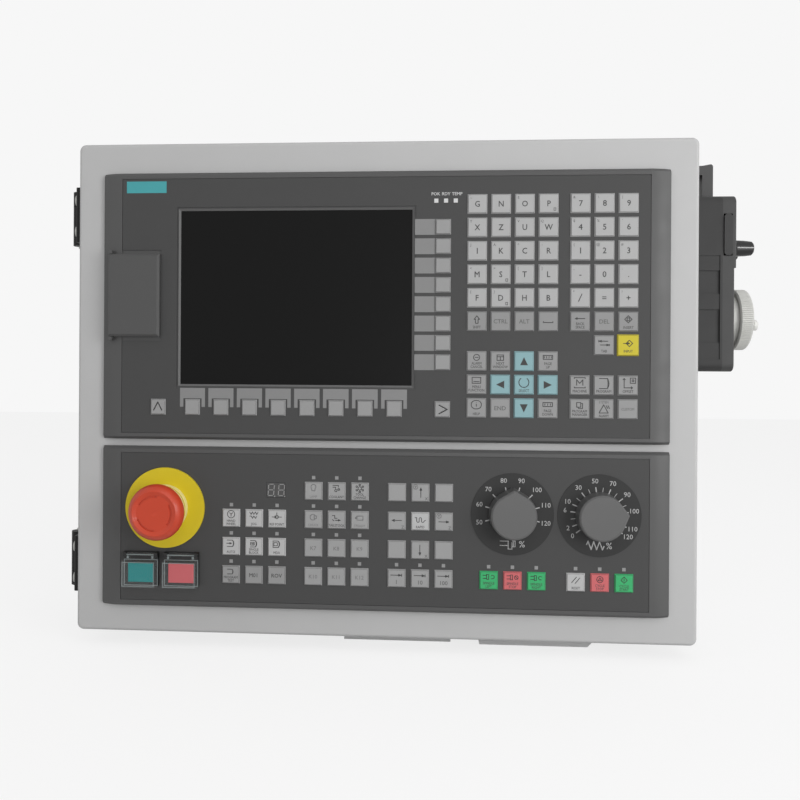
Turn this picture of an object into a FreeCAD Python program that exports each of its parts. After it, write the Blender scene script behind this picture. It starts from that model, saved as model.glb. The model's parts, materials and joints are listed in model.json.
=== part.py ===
import FreeCAD, Part

import math
import os
from types import SimpleNamespace

import Sketcher
from FreeCAD import Placement, Rotation, Vector

# Operator console of a turning lathe: a sheet-metal box with a hinged front, a display
# unit above a switch panel, and a hand pendant hung on its right side.
# The frame: +X to the operator's right, +Y into the machine, +Z up. The origin is the centre
# of the support plate's underside, where the console is bolted down. All sizes are millimetres.

# ---------------------------------------------------------------- driving dimensions
SIZES = {
    # box
    "box_side_margin": 21.0, "box_height": 370.0, "sheet_wall": 2.0,
    "corner_radius": 5.0, "bend_radius": 2.5,
    "door_depth": 26.0, "seal_thickness": 2.0, "seal_width": 10.0, "seal_inset": 1.0,
    "housing_depth": 124.0, "flange_width": 12.0, "front_to_mount": 90.0,
    # support plate
    "base_thickness": 12.0, "base_width": 336.0, "base_front": 50.0, "base_back": 130.0,
    "bolt_spacing_across": 280.0, "bolt_spacing_deep": 50.0, "bolt_hole_radius": 4.5,
    "right_lip_start": 76.0, "right_lip_end": 162.0, "right_lip_front": 30.0,
    "left_lip_start": -29.0, "left_lip_end": 54.0, "left_lip_front": 34.0, "lip_bevel": 4.0,
    "cable_hole_radius": 20.0, "grommet_bore": 15.0, "grommet_lip": 3.0, "grommet_lip_height": 3.0,
    # hinges
    "hinge_reach": 8.0, "hinge_height": 42.0, "hinge_low": 28.5, "hinge_high": 32.0,
    "knuckle_radius": 6.5, "knuckle_end": 11.0, "knuckle_gap": 0.4, "hinge_pin_radius": 2.5,
    "hinge_leaf": 4.0, "hinge_leaf_bevel": 1.0, "hinge_leaf_near": 7.5, "hinge_leaf_length": 15.5,
    "hinge_pin_tip": 2.0, "turning_clearance": 0.06,
    "hinge_screw_radius": 2.4, "hinge_screw_head": 4.2, "hinge_screw_head_height": 2.2,
    "hinge_screw_edge": 9.0, "screw_hole_clearance": 0.2, "screw_end": 3.0,
    # quarter-turn lock in the right wall
    "lock_height": 120.0, "lock_depth": 42.0, "lock_barrel_radius": 9.0, "lock_flange_radius": 12.0,
    "lock_flange_height": 2.5, "lock_core_radius": 5.0, "lock_reach": 24.0, "lock_nut_radius": 13.0,
    "lock_nut_height": 4.0, "cam_width": 12.0, "cam_length": 26.0, "cam_thickness": 3.0,
    "cam_round": 5.7,
    "key_slot_width": 1.2, "key_slot_depth": 4.0, "key_slot_length": 7.0,
    "catch_offset": 17.0, "catch_height": 18.0, "catch_above_lock": 11.0,
    "catch_lip": 10.0, "catch_clearance": 2.0,
    # the two units on the front
    "upper_height": 200.0, "lower_height": 120.0,
    "bottom_margin": 21.0, "unit_gap": 5.5, "bezel_height": 6.0, "bezel_end_height": 2.6,
    "wing_width": 14.9, "bezel_bevel": 2.0, "foil_inset": 4.5, "foil_depth": 0.8, "foil_gap": 0.35,
    "foil_corner": 1.5,
    "case_inset_side": 12.0, "case_inset_end": 12.0, "case_wall": 1.2,
    "case_round": 2.4, "case_clearance": 1.0,
    "upper_case_depth": 62.0, "lower_case_depth": 50.0,
    "vent_width": 3.0, "vent_length": 24.0, "vent_pitch": 8.0,
    "clamp_width": 12.0, "clamp_height": 9.0, "clamp_depth": 14.0, "clamp_edge": 40.0,
    # keys
    "key_rise": 1.2, "key_slope": -28.0, "key_width": 14.3, "key_pitch": 17.15,
    "side_field_width": 16.9, "letter_gap": 12.0, "block_gap": 5.7, "key_side_margin": 23.9,
    "first_key_row": 18.0, "tab_row": 120.9, "navigation_row": 132.8, "entry_key_width": 15.5,
    "side_key_row": 36.0, "side_key_width": 11.3, "side_key_height": 11.4,
    "side_key_pitch": 14.2,
    "under_key_left": 63.7, "under_key_row": 169.7, "under_key_width": 11.3,
    "under_key_height": 11.8, "under_key_pitch": 21.55,
    "back_key_left": 37.6,
    "panel_key_width": 13.3, "panel_key_pitch": 17.2, "panel_row_pitch": 21.07,
    "panel_first_row": 24.8, "mode_key_left": 92.75, "function_key_left": 154.35,
    "axis_key_left": 216.1, "turning_key_reach": 136.6, "cycle_key_reach": 74.0,
    "lamp_size": 2.5, "lamp_above_key": 3.2, "lamp_rise": 0.3,
    "status_lamp_shift": 1.0, "status_lamp_row": 21.0, "status_lamp_pitch": 7.1,
    "status_lamp_size": 3.0,
    # display
    "screen_left": 59.7, "screen_top": 28.7, "screen_width": 173.3, "screen_height": 129.8,
    "screen_lip": 2.6, "screen_bevel": 1.4, "glass_thickness": 2.8, "glass_level": 1.4,
    "glass_overlap": 2.0,
    "glass_clearance": 0.3, "display_depth": 12.0,
    # socket flap
    "flap_left": 5.4, "flap_top": 61.2, "flap_width": 39.1, "flap_height": 61.8,
    "flap_rise": 4.6, "flap_wall": 1.4, "flap_pin_radius": 0.8, "flap_pin_length": 2.0,
    "flap_hinge_radius": 1.5, "flap_clearance": 0.25, "flap_ear": 2.6,
    "flap_bevel": 1.6, "flap_back_round": 1.45,
    "recess_margin": 8.4, "socket_level": -3.0, "socket_depth": 16.0, "socket_collar_wall": 1.2,
    "port_width": 6.0, "port_height": 13.0, "port_depth": 9.0, "port_spacing": 23.4,
    # emergency stop
    "stop_left": 49.2, "stop_down": 45.6, "stop_disc_radius": 30.0, "stop_disc_height": 2.0,
    "stop_ring_radius": 17.5, "stop_ring_height": 7.0, "stop_barrel_radius": 11.0,
    "stop_stem_radius": 5.0, "stop_stem_inside": 16.0, "stop_block_width": 30.0,
    "stop_block_height": 42.0, "stop_block_depth": 32.0, "stop_travel_gap": 6.0,
    "barrel_hole_clearance": 0.5,
    "stop_head_radius": 20.5, "stop_head_base": 15.0, "stop_head_height": 15.0,
    "stop_head_middle": 7.5, "stop_foot_radius": 14.8, "stop_shoulder_radius": 19.3,
    "stop_shoulder_height": 3.6, "stop_crown_radius": 16.0, "stop_dish_radius": 13.2,
    "stop_dish_edge": 0.9, "stop_dish_depth": 1.1, "stop_head_turn": 30.0,
    "arrow_groove_width": 1.3, "arrow_groove_radius": 12.4, "arrow_groove_depth": 1.7,
    "arrow_groove_angle": 70.0,
    # guarded push buttons
    "green_button_left": 31.8, "red_button_left": 62.4, "button_down": 93.9,
    "button_frame_width": 25.8, "button_frame_height": 19.8, "button_frame_rise": 3.0,
    "button_depth": 30.0, "button_barrel_width": 22.6, "button_barrel_height": 18.0,
    "cap_width": 19.0, "cap_height": 14.1, "cap_rise": 5.0, "cap_gap": 0.3, "cap_length": 12.0,
    "cap_travel_gap": 6.0, "cap_round": 0.6,
    "guard_rise": 8.0, "guard_wall": 1.0, "guard_round": 0.8, "guard_gap": 0.3,
    "guard_arm": 3.8, "guard_arm_width": 2.2, "guard_arm_thickness": 2.5,
    "guard_arm_past_pin": 0.5, "guard_pin": 1.0, "guard_axis_rise": 1.5,
    "guard_bar_length": 21.0, "guard_ear_width": 2.4, "guard_ear_half": 1.6,
    "guard_tab_width": 5.0, "guard_tab": 1.2,
    # number display
    "digits_left": 125.8, "digits_down": 25.8, "digits_width": 14.0, "digits_height": 11.1,
    "digits_depth": 8.0, "digits_gap": 0.2, "digits_sink": 0.3,
    # override dials
    "spindle_dial_reach": 113.0, "feed_dial_reach": 50.6, "dial_down": 46.2,
    "dial_radius": 30.0, "dial_thickness": 0.4, "feed_rest_angle": 82.5,
    "knob_radius": 17.3, "knob_rise": 13.0, "knob_slope": 4.0, "knob_nose": 17.0,
    "knob_nose_radius": 2.6, "knob_gap": 0.5, "knob_edge": 1.1, "knob_bore_depth": 9.5,
    "shaft_radius": 3.0, "shaft_clearance": 0.05, "shaft_end": 20.0,
    "switch_bush_radius": 4.8, "switch_width": 28.0, "switch_depth": 14.0,
    # pendant
    "pendant_depth": 98.0, "pendant_drop": 100.8, "pendant_standoff": 10.0,
    "pendant_width": 76.0, "pendant_height": 139.5, "pendant_corner": 6.0,
    "rear_shell_depth": 26.2, "front_shell_depth": 10.6, "pendant_step": 1.4,
    "pendant_step_height": 12.4, "pendant_wall": 2.5, "pendant_round": 2.0,
    "pendant_face_round": 1.2,
    "grip_end": 24.3, "grip_depth": 0.7, "grip_top": 22.2, "grip_bottom": -60.0,
    "upper_band_top": 10.3, "upper_band_bottom": -8.1, "lower_band_top": -20.5,
    "lower_band_bottom": -47.0, "band_depth": 1.9,
    "post_width": 12.0, "case_screw_radius": 1.5, "case_screw_head": 2.9,
    "case_screw_head_height": 1.8, "case_screw_bite": 4.0, "case_screw_clearance": 0.1,
    "hook_width": 24.0, "hook_thickness": 8.6, "hook_out": 18.0, "hook_rise": 29.0,
    "hook_bar": 7.5, "hook_tip": 5.0, "hook_slant": 1.6, "hook_round": 2.0, "seat_gap": 0.3,
    "holder_width": 40.0, "holder_plate": 3.0, "holder_lip": 3.0, "holder_shelf_above": 3.0,
    "holder_bottom": -60.0, "holder_over": 3.0, "pad_bottom": -55.0, "pad_top": -35.0,
    "holder_screw_height": 30.0,
    "inlet_radius": 6.0, "inlet_bore": 3.5, "inlet_length": 6.0, "inlet_out": 13.0,
    "selector_spread": 18.0, "selector_height": 30.0, "selector_radius": 5.6,
    "selector_rise": 19.2, "selector_skirt_radius": 10.0, "selector_skirt": 5.0,
    "selector_grip": 12.2, "selector_stem_radius": 3.0, "selector_stem": 5.0,
    "selector_edge": 1.2, "selector_root_radius": 7.2,
    "wheel_height": -27.0, "wheel_radius": 25.0, "wheel_start": 9.8, "wheel_width": 10.8,
    "wheel_hub_radius": 21.0, "wheel_hub_gap": 0.4, "wheel_dish_radius": 19.0, "wheel_dish": 3.0,
    "wheel_hub_depth": 6.0, "wheel_edge": 2.2, "wheel_back_edge": 1.1, "knurl_depth": 0.4,
    "knurl_half_width": 0.5, "knurl_over": 0.25, "wheel_dial_bevel": 1.0,
    "wheel_dial_radius": 26.0, "wheel_dial_thickness": 4.0,
    "wheel_shaft_radius": 4.0, "wheel_shaft_end": 12.0,
    "crank_reach": 17.0, "crank_angle": 17.5, "crank_radius": 4.3, "crank_height": 4.8,
    "crank_stud_radius": 1.5, "crank_boss_radius": 3.4, "crank_gap": 0.3, "crank_edge": 1.2,
    "crank_cap": 2.4,
    "enable_width": 6.7, "enable_height": 32.6, "enable_bottom": 22.2, "enable_rise": 1.4,
    "enable_depth": 3.0, "enable_gap": 0.3, "enable_corner": 2.6, "enable_inset": 0.6,
}
COUNTS = {
    "letter_columns": 4, "letter_rows": 6, "number_columns": 3, "number_rows": 6,
    "navigation_rows": 3, "menu_columns": 3, "menu_rows": 2, "soft_keys": 8,
    "mode_columns": 3, "mode_rows": 3, "function_rows": 4, "axis_rows": 4,
    "turning_keys": 3, "cycle_keys": 3, "status_lamps": 3, "clamps_a_side": 3,
    "vents": 12, "knurls": 96, "arrow_grooves": 3,
}
TOUCH = 1e-6
NEAR = 1e-4
SLACK = 1.0

document = FreeCAD.newDocument("lathe_console")
sheet = document.addObject("Spreadsheet::Sheet", "Sizes")
for row, (alias, number) in enumerate({**SIZES, **COUNTS}.items(), start=1):
    sheet.set(f"A{row}", alias)
    sheet.set(f"B{row}", str(number))
    sheet.setAlias(f"B{row}", alias)
document.recompute()
subparts = []


class Size:
    """A length with its number and the sheet formula that it follows."""

    def __init__(self, number, formula):
        self.number = float(number)
        self.formula = formula

    def __add__(self, other):
        other = sized(other)
        return Size(self.number + other.number, f"({self.formula} + {other.formula})")

    def __sub__(self, other):
        other = sized(other)
        return Size(self.number - other.number, f"({self.formula} - {other.formula})")

    def __mul__(self, other):
        other = sized(other)
        return Size(self.number * other.number, f"({self.formula} * {other.formula})")

    def __truediv__(self, other):
        other = sized(other)
        return Size(self.number / other.number, f"({self.formula} / {other.formula})")

    def __neg__(self):
        return Size(-self.number, f"(0 - {self.formula})")

    __radd__ = __add__
    __rmul__ = __mul__

    def __rsub__(self, other):
        return sized(other) - self


def sized(value):
    """A plain number becomes a Size that follows nothing."""
    return value if isinstance(value, Size) else Size(value, f"{float(value):.9f}")


S = SimpleNamespace(**{alias: Size(number, f"Sizes.{alias}")
                       for alias, number in {**SIZES, **COUNTS}.items()})


def derive(alias, value):
    """Keep a size that follows from others in the sheet, under its own name."""
    row = len(vars(S)) + 1
    sheet.set(f"A{row}", alias)
    sheet.set(f"B{row}", "=" + value.formula.replace("Sizes.", ""))
    sheet.setAlias(f"B{row}", alias)
    setattr(S, alias, Size(value.number, f"Sizes.{alias}"))


derive("side_key_left", S.screen_left + S.screen_width + S.side_field_width)
derive("letter_left", S.side_key_left + S.side_key_width + S.letter_gap)
derive("number_left", S.letter_left + S.key_pitch * S.letter_columns + S.block_gap)
derive("number_right", S.number_left + S.key_pitch * (S.number_columns - 1) + S.key_width)
derive("unit_width", S.number_right + S.key_side_margin)
derive("box_width", S.unit_width + S.box_side_margin * 2)
derive("status_lamp_left", S.side_key_left - S.status_lamp_shift)
derive("turning_key_left", S.unit_width - S.turning_key_reach)
derive("cycle_key_left", S.unit_width - S.cycle_key_reach)
derive("spindle_dial_left", S.unit_width - S.spindle_dial_reach)
derive("feed_dial_left", S.unit_width - S.feed_dial_reach)
derive("pendant_middle", S.box_height - S.pendant_drop)
document.recompute()


# ---------------------------------------------------------------- modelling helpers
def bind(item, name, value):
    """Tie one property of an object to the sheet."""
    item.setExpression(name, sized(value).formula)


def place(item, x=0, y=0, z=0, turn=None):
    """Put an object where the sheet says, turned first if asked."""
    if turn is not None:
        item.Placement = Placement(Vector(), turn)
    for axis, value in zip("xyz", (x, y, z)):
        bind(item, f"Placement.Base.{axis}", value)


def body(label, x=0, y=0, z=0, turn=None, keep=True):
    """A body of features, kept as a sub-part under its own label."""
    item = document.addObject("PartDesign::Body", label)
    item.Label = label
    place(item, x, y, z, turn)
    if keep:
        subparts.append(item)
    return item


PLANES = {"front": "XZ_Plane", "top": "XY_Plane", "side": "YZ_Plane"}


def sketch(owner, plane, offset=0):
    """An outline on one of the body's own planes: front faces -Y, top +Z and side +X."""
    item = owner.newObject("Sketcher::SketchObject", f"{owner.Label}_outline")
    support = next(part for part in owner.Origin.OriginFeatures if part.Role == PLANES[plane])
    item.AttachmentSupport = (support, "")
    item.MapMode = "FlatFace"
    bind(item, "AttachmentOffset.Base.z", offset)
    return item


def tie(item, kind, geometry, point, value):
    """Fix one coordinate of a point of an outline."""
    value = sized(value)
    number = item.addConstraint(Sketcher.Constraint(kind, -1, 1, geometry, point, value.number))
    item.setExpression(f"Constraints[{number}]", value.formula)


def fix(item, geometry, point, x, y):
    """Fix both coordinates of a point of an outline."""
    tie(item, "DistanceX", geometry, point, x)
    tie(item, "DistanceY", geometry, point, y)


def arc_middle(start, end, kind, value):
    """Middle of the short arc between two points with one coordinate of its centre given."""
    if kind == "DistanceX":
        across = value
        up = ((start.x - across) ** 2 - (end.x - across) ** 2 + start.y ** 2 - end.y ** 2)
        up /= 2 * (start.y - end.y)
    else:
        up = value
        across = ((start.y - up) ** 2 - (end.y - up) ** 2 + start.x ** 2 - end.x ** 2)
        across /= 2 * (start.x - end.x)
    centre = Vector(across, up, 0)
    outward = (start + end) / 2 - centre
    return centre + outward.normalize() * centre.distanceToPoint(start)


def profile(item, corners, arcs=None):
    """Closed outline through the corners. arcs gives, for the run after a corner,
    ("DistanceX" or "DistanceY" of the arc's centre, its value)."""
    arcs = arcs or {}
    points = [Vector(sized(x).number, sized(y).number, 0) for x, y in corners]
    count = len(points)
    first = item.GeometryCount
    heads = []
    for index, start in enumerate(points):
        end = points[(index + 1) % count]
        if index in arcs:
            kind, value = arcs[index]
            middle = arc_middle(start, end, kind, sized(value).number)
            clockwise = (middle - start).cross(end - start).z < 0
            ends = (end, start) if clockwise else (start, end)
            item.addGeometry(Part.Arc(ends[0], middle, ends[1]))
        else:
            item.addGeometry(Part.LineSegment(start, end))
        laid = item.Geometry[-1]
        heads.append(1 if laid.StartPoint.distanceToPoint(start) < TOUCH else 2)
    for index in range(count):
        following = (index + 1) % count
        item.addConstraint(Sketcher.Constraint("Coincident", first + index, 3 - heads[index],
                                               first + following, heads[following]))
    for index, (x, y) in enumerate(corners):
        fix(item, first + index, heads[index], x, y)
    for index, (kind, value) in arcs.items():
        tie(item, kind, first + index, 3, value)


def rectangle(item, left, bottom, width, height):
    """Closed rectangle from its lower left corner."""
    right = sized(left) + width
    top = sized(bottom) + height
    profile(item, [(left, bottom), (right, bottom), (right, top), (left, top)])


def circle(item, x, y, radius):
    """Full circle."""
    radius = sized(radius)
    centre = Vector(sized(x).number, sized(y).number, 0)
    index = item.addGeometry(Part.Circle(centre, Vector(0, 0, 1), radius.number))
    fix(item, index, 3, x, y)
    number = item.addConstraint(Sketcher.Constraint("Radius", index, radius.number))
    item.setExpression(f"Constraints[{number}]", radius.formula)


def teardrop(item, radius, reach, nose):
    """Round outline with a pointed nose towards +Y of the outline."""
    radius, reach, nose = sized(radius), sized(reach), sized(nose)
    lean = math.asin((radius.number - nose.number) / reach.number)
    upward = Vector(0, 0, 1)
    tip = Vector(0, reach.number, 0)
    right = Vector(math.cos(lean), math.sin(lean), 0)
    left = Vector(-right.x, right.y, 0)
    item.addGeometry(Part.ArcOfCircle(Part.Circle(Vector(), upward, radius.number),
                                      math.pi - lean, math.pi * 2 + lean))
    item.addGeometry(Part.LineSegment(right * radius.number, tip + right * nose.number))
    item.addGeometry(Part.ArcOfCircle(Part.Circle(tip, upward, nose.number),
                                      lean, math.pi - lean))
    item.addGeometry(Part.LineSegment(tip + left * nose.number, left * radius.number))
    for index in range(4):
        item.addConstraint(Sketcher.Constraint("Tangent", index, 2, (index + 1) % 4, 1))
    fix(item, 0, 3, 0, 0)
    fix(item, 2, 3, 0, reach)
    for index, value in ((0, radius), (2, nose)):
        number = item.addConstraint(Sketcher.Constraint("Radius", index, value.number))
        item.setExpression(f"Constraints[{number}]", value.formula)


def pad(owner, outline, length, back=False, slope=None, both=False):
    """Raise an outline along its plane's normal, or the other way."""
    item = owner.newObject("PartDesign::Pad", f"{owner.Label}_pad")
    item.Profile = outline
    item.Reversed = back
    item.Midplane = both
    bind(item, "Length", length)
    if slope is not None:
        bind(item, "TaperAngle", slope)
    return item


def cut(owner, outline, length, back=False, both=False):
    """Sink an outline against its plane's normal, or the other way."""
    document.recompute()
    before = owner.Shape.Volume
    item = owner.newObject("PartDesign::Pocket", f"{owner.Label}_cut")
    item.Profile = outline
    item.Reversed = back
    item.Midplane = both
    bind(item, "Length", length)
    document.recompute()
    if owner.Shape.Volume > before - TOUCH:
        raise RuntimeError(f"{item.Label} removes nothing")
    return item


def turned(owner, outline, axis="V_Axis"):
    """Turn an outline about its own vertical or horizontal axis."""
    item = owner.newObject("PartDesign::Revolution", f"{owner.Label}_turned")
    item.Profile = outline
    item.ReferenceAxis = (outline, [axis])
    item.Angle = 360.0
    return item


def grid(owner, feature, across, across_pitch, down=1, down_pitch=0):
    """Repeat a feature across its outline and down it."""
    item = owner.newObject("PartDesign::LinearPattern", f"{owner.Label}_grid")
    item.Originals = [feature]
    outline = feature.Profile[0]
    item.Direction = (outline, ["H_Axis"])
    bind(item, "Occurrences", across)
    bind(item, "Length", sized(across_pitch) * (sized(across) - 1))
    if sized(down).number > 1:
        item.Direction2 = (outline, ["V_Axis"])
        item.Reversed2 = True
        bind(item, "Occurrences2", down)
        bind(item, "Length2", sized(down_pitch) * (sized(down) - 1))
    owner.Tip = item
    return item


def around(owner, feature, axis, count):
    """Repeat a feature round one axis of its outline."""
    item = owner.newObject("PartDesign::PolarPattern", f"{owner.Label}_ring")
    item.Originals = [feature]
    item.Axis = (feature.Profile[0], [axis])
    item.Angle = 360.0
    bind(item, "Occurrences", count)
    owner.Tip = item
    return item


def mirrored(owner, features, plane):
    """Repeat features on the other side of one of the body's own planes."""
    item = owner.newObject("PartDesign::Mirrored", f"{owner.Label}_mirrored")
    item.Originals = features
    support = next(part for part in owner.Origin.OriginFeatures if part.Role == PLANES[plane])
    item.MirrorPlane = (support, [""])
    owner.Tip = item
    return item


def edges_of(owner, test):
    """Names of the edges of a body's last feature that pass a test."""
    document.recompute()
    return [f"Edge{index}" for index, edge in enumerate(owner.Tip.Shape.Edges, start=1)
            if test(edge)]


def dress(owner, kind, radius, test):
    """Fillet or chamfer the edges that pass a test."""
    names = edges_of(owner, test)
    base = owner.Tip
    item = owner.newObject(f"PartDesign::{kind}", f"{owner.Label}_{kind.lower()}")
    item.Base = (base, names)
    bind(item, "Radius" if kind == "Fillet" else "Size", radius)
    document.recompute()
    if not names or "Invalid" in item.State:
        raise RuntimeError(f"{item.Label} does not fit {len(names)} edges")
    return item


def runs(edge, axis):
    """True for an edge that lies along an axis."""
    box = edge.BoundBox
    lengths = {"x": box.XLength, "y": box.YLength, "z": box.ZLength}
    longest = lengths.pop(axis)
    return longest > TOUCH and max(lengths.values()) < NEAR


def lies(edge, axis, value):
    """True for an edge that lies wholly in a plane square to an axis."""
    box = edge.BoundBox
    low, high = {"x": (box.XMin, box.XMax), "y": (box.YMin, box.YMax),
                 "z": (box.ZMin, box.ZMax)}[axis]
    number = sized(value).number
    return abs(low - number) < NEAR and abs(high - number) < NEAR


def cylinder(label, radius, length, x=0, y=0, z=0, turn=None):
    """Round bar from a Part primitive."""
    item = document.addObject("Part::Cylinder", label)
    bind(item, "Radius", radius)
    bind(item, "Height", length)
    place(item, x, y, z, turn)
    return item


def block(label, width, depth, height, x=0, y=0, z=0):
    """Rectangular block from a Part primitive."""
    item = document.addObject("Part::Box", label)
    bind(item, "Length", width)
    bind(item, "Width", depth)
    bind(item, "Height", height)
    place(item, x, y, z)
    return item


def group(label, pieces):
    """Like pieces kept together as one sub-part of separate solids."""
    item = document.addObject("Part::Compound", label)
    item.Label = label
    item.Links = pieces
    subparts.append(item)
    return item


def headed_screw(label, radius, length, head_radius, head_height, x, y, z, turn):
    """A screw whose head's underside is at the given place."""
    shank = cylinder(f"{label}_shank", radius, length)
    head = cylinder(f"{label}_head", head_radius, head_height, z=-sized(head_height))
    item = document.addObject("Part::Fuse", label)
    item.Base = shank
    item.Tool = head
    place(item, x, y, z, turn)
    return item


TO_BACK = Rotation(Vector(1, 0, 0), -90)
TO_RIGHT = Rotation(Vector(0, 1, 0), 90)
TO_LEFT = Rotation(Vector(0, 1, 0), -90)

# ---------------------------------------------------------------- places shared by pieces
front_y = -S.front_to_mount
box_floor = S.base_thickness
lower_floor = box_floor + S.bottom_margin
upper_floor = lower_floor + S.lower_height + S.unit_gap
unit_left = -(S.unit_width / 2)
housing_front = S.door_depth + S.seal_thickness
foil_level = S.bezel_height - S.foil_depth
wing_start = S.wing_width
wing_end = S.unit_width - S.wing_width
lock_x = S.box_width / 2
hinge_axis_x = -(S.box_width / 2) - S.hinge_reach
hinge_axis_y = front_y + S.door_depth + S.seal_thickness / 2


# ---------------------------------------------------------------- box
def build_front_door():
    """Folded tray with two cut-outs for the units and a catch for the lock."""
    door = body("front_door", y=front_y, z=box_floor)
    outline = sketch(door, "front")
    rectangle(outline, -(S.box_width / 2), 0, S.box_width, S.box_height)
    pad(door, outline, S.door_depth, back=True)
    dress(door, "Fillet", S.corner_radius, lambda edge: runs(edge, "y"))
    dress(door, "Fillet", S.bend_radius, lambda edge: lies(edge, "y", 0))
    hollow = sketch(door, "front", -S.door_depth)
    rectangle(hollow, S.sheet_wall - S.box_width / 2, S.sheet_wall,
              S.box_width - S.sheet_wall * 2, S.box_height - S.sheet_wall * 2)
    cut(door, hollow, S.door_depth - S.sheet_wall, back=True)
    openings = sketch(door, "front", SLACK)
    side = S.case_inset_side - S.case_clearance
    end = S.case_inset_end - S.case_clearance
    for floor, height in ((lower_floor, S.lower_height), (upper_floor, S.upper_height)):
        rectangle(openings, unit_left + side, floor - box_floor + end,
                  S.unit_width - side * 2, height - end * 2)
    cut(door, openings, S.sheet_wall + SLACK * 2)
    screw_holes = sketch(door, "side", -(S.box_width / 2) - SLACK)
    for low in hinge_floors():
        for up in hinge_screw_heights():
            circle(screw_holes, S.door_depth + S.seal_thickness / 2 - hinge_screw_out(),
                   low - box_floor + up, S.hinge_screw_radius + S.screw_hole_clearance)
    cut(door, screw_holes, S.sheet_wall + SLACK * 2, back=True)
    catch_right = S.box_width / 2 - S.catch_offset
    lip_start = S.lock_depth + S.cam_width / 2 + S.catch_clearance
    catch = sketch(door, "top", S.lock_height + S.catch_above_lock)
    profile(catch, [(catch_right, S.sheet_wall), (catch_right, lip_start + S.sheet_wall),
                    (catch_right - S.catch_lip, lip_start + S.sheet_wall),
                    (catch_right - S.catch_lip, lip_start),
                    (catch_right - S.sheet_wall, lip_start),
                    (catch_right - S.sheet_wall, S.sheet_wall)])
    pad(door, catch, S.catch_height)


def build_seal():
    """Flat rubber ring between the door's folded edges and the housing's flange."""
    seal = body("door_seal", y=front_y + S.door_depth, z=box_floor)
    outline = sketch(seal, "front")
    for inset in (S.seal_inset, S.seal_inset + S.seal_width):
        rectangle(outline, inset - S.box_width / 2, inset,
                  S.box_width - inset * 2, S.box_height - inset * 2)
    pad(seal, outline, S.seal_thickness, back=True)


def build_housing():
    """Welded box behind the door, with an inward flange, a floor with holes and a lock hole."""
    housing = body("rear_housing", y=front_y + housing_front, z=box_floor)
    outline = sketch(housing, "front")
    rectangle(outline, -(S.box_width / 2), 0, S.box_width, S.box_height)
    pad(housing, outline, S.housing_depth, back=True)
    dress(housing, "Fillet", S.corner_radius, lambda edge: runs(edge, "y"))
    dress(housing, "Fillet", S.bend_radius, lambda edge: lies(edge, "y", S.housing_depth))
    mouth = sketch(housing, "front")
    edge_in = S.sheet_wall + S.flange_width
    rectangle(mouth, edge_in - S.box_width / 2, edge_in,
              S.box_width - edge_in * 2, S.box_height - edge_in * 2)
    cut(housing, mouth, S.housing_depth - S.sheet_wall)
    inside = sketch(housing, "front", -S.sheet_wall)
    rectangle(inside, S.sheet_wall - S.box_width / 2, S.sheet_wall,
              S.box_width - S.sheet_wall * 2, S.box_height - S.sheet_wall * 2)
    cut(housing, inside, S.housing_depth - S.sheet_wall * 2)
    floor_holes = sketch(housing, "top", -SLACK)
    mount_y = S.front_to_mount - housing_front
    circle(floor_holes, 0, mount_y, S.cable_hole_radius)
    for across in (-(S.bolt_spacing_across / 2), S.bolt_spacing_across / 2):
        for deep in (mount_y - S.bolt_spacing_deep / 2, mount_y + S.bolt_spacing_deep / 2):
            circle(floor_holes, across, deep, S.bolt_hole_radius)
    cut(housing, floor_holes, S.sheet_wall + SLACK * 2, back=True)
    lock_hole = sketch(housing, "side", S.box_width / 2 + SLACK)
    circle(lock_hole, S.lock_depth - housing_front, S.lock_height, S.lock_barrel_radius)
    circle(lock_hole, S.pendant_depth - housing_front, S.pendant_middle + S.holder_screw_height,
           S.hinge_screw_radius + S.screw_hole_clearance)
    circle(lock_hole, S.pendant_depth - housing_front, S.pendant_middle - S.holder_screw_height,
           S.hinge_screw_radius + S.screw_hole_clearance)
    cut(housing, lock_hole, S.sheet_wall + SLACK * 2)
    screw_holes = sketch(housing, "side", -(S.box_width / 2) - SLACK)
    for low in hinge_floors():
        for up in hinge_screw_heights():
            circle(screw_holes, hinge_screw_out() - S.seal_thickness / 2,
                   low - box_floor + up, S.hinge_screw_radius + S.screw_hole_clearance)
    cut(housing, screw_holes, S.sheet_wall + SLACK * 2, back=True)


def build_base():
    """Support plate under the box, with two lips that reach forward and four bolt holes."""
    base = body("support_plate", y=front_y)
    outline = sketch(base, "top")
    half = S.base_width / 2
    profile(outline, [
        (-half, S.base_front), (S.left_lip_start, S.base_front),
        (S.left_lip_start, S.left_lip_front), (S.left_lip_end, S.left_lip_front),
        (S.left_lip_end, S.base_front), (S.right_lip_start, S.base_front),
        (S.right_lip_start, S.right_lip_front), (S.right_lip_end, S.right_lip_front),
        (S.right_lip_end, S.base_front), (half, S.base_front),
        (half, S.base_back), (-half, S.base_back)])
    circle(outline, 0, S.front_to_mount, S.cable_hole_radius)
    for across in (-(S.bolt_spacing_across / 2), S.bolt_spacing_across / 2):
        for deep in (-(S.bolt_spacing_deep / 2), S.bolt_spacing_deep / 2):
            circle(outline, across, S.front_to_mount + deep, S.bolt_hole_radius)
    pad(base, outline, S.base_thickness)
    dress(base, "Chamfer", S.lip_bevel,
          lambda edge: runs(edge, "y") and lies(edge, "x", S.right_lip_end) and lies(edge, "z", 0))


def build_grommet():
    """Rubber ring that lines the cable hole, with a lip inside the box."""
    grommet = body("cable_grommet")
    outline = sketch(grommet, "front")
    top = box_floor + S.sheet_wall
    lip = S.cable_hole_radius + S.grommet_lip
    profile(outline, [(S.grommet_bore, 0), (S.cable_hole_radius, 0), (S.cable_hole_radius, top),
                      (lip, top), (lip, top + S.grommet_lip_height),
                      (S.grommet_bore, top + S.grommet_lip_height)])
    turned(grommet, outline)


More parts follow.
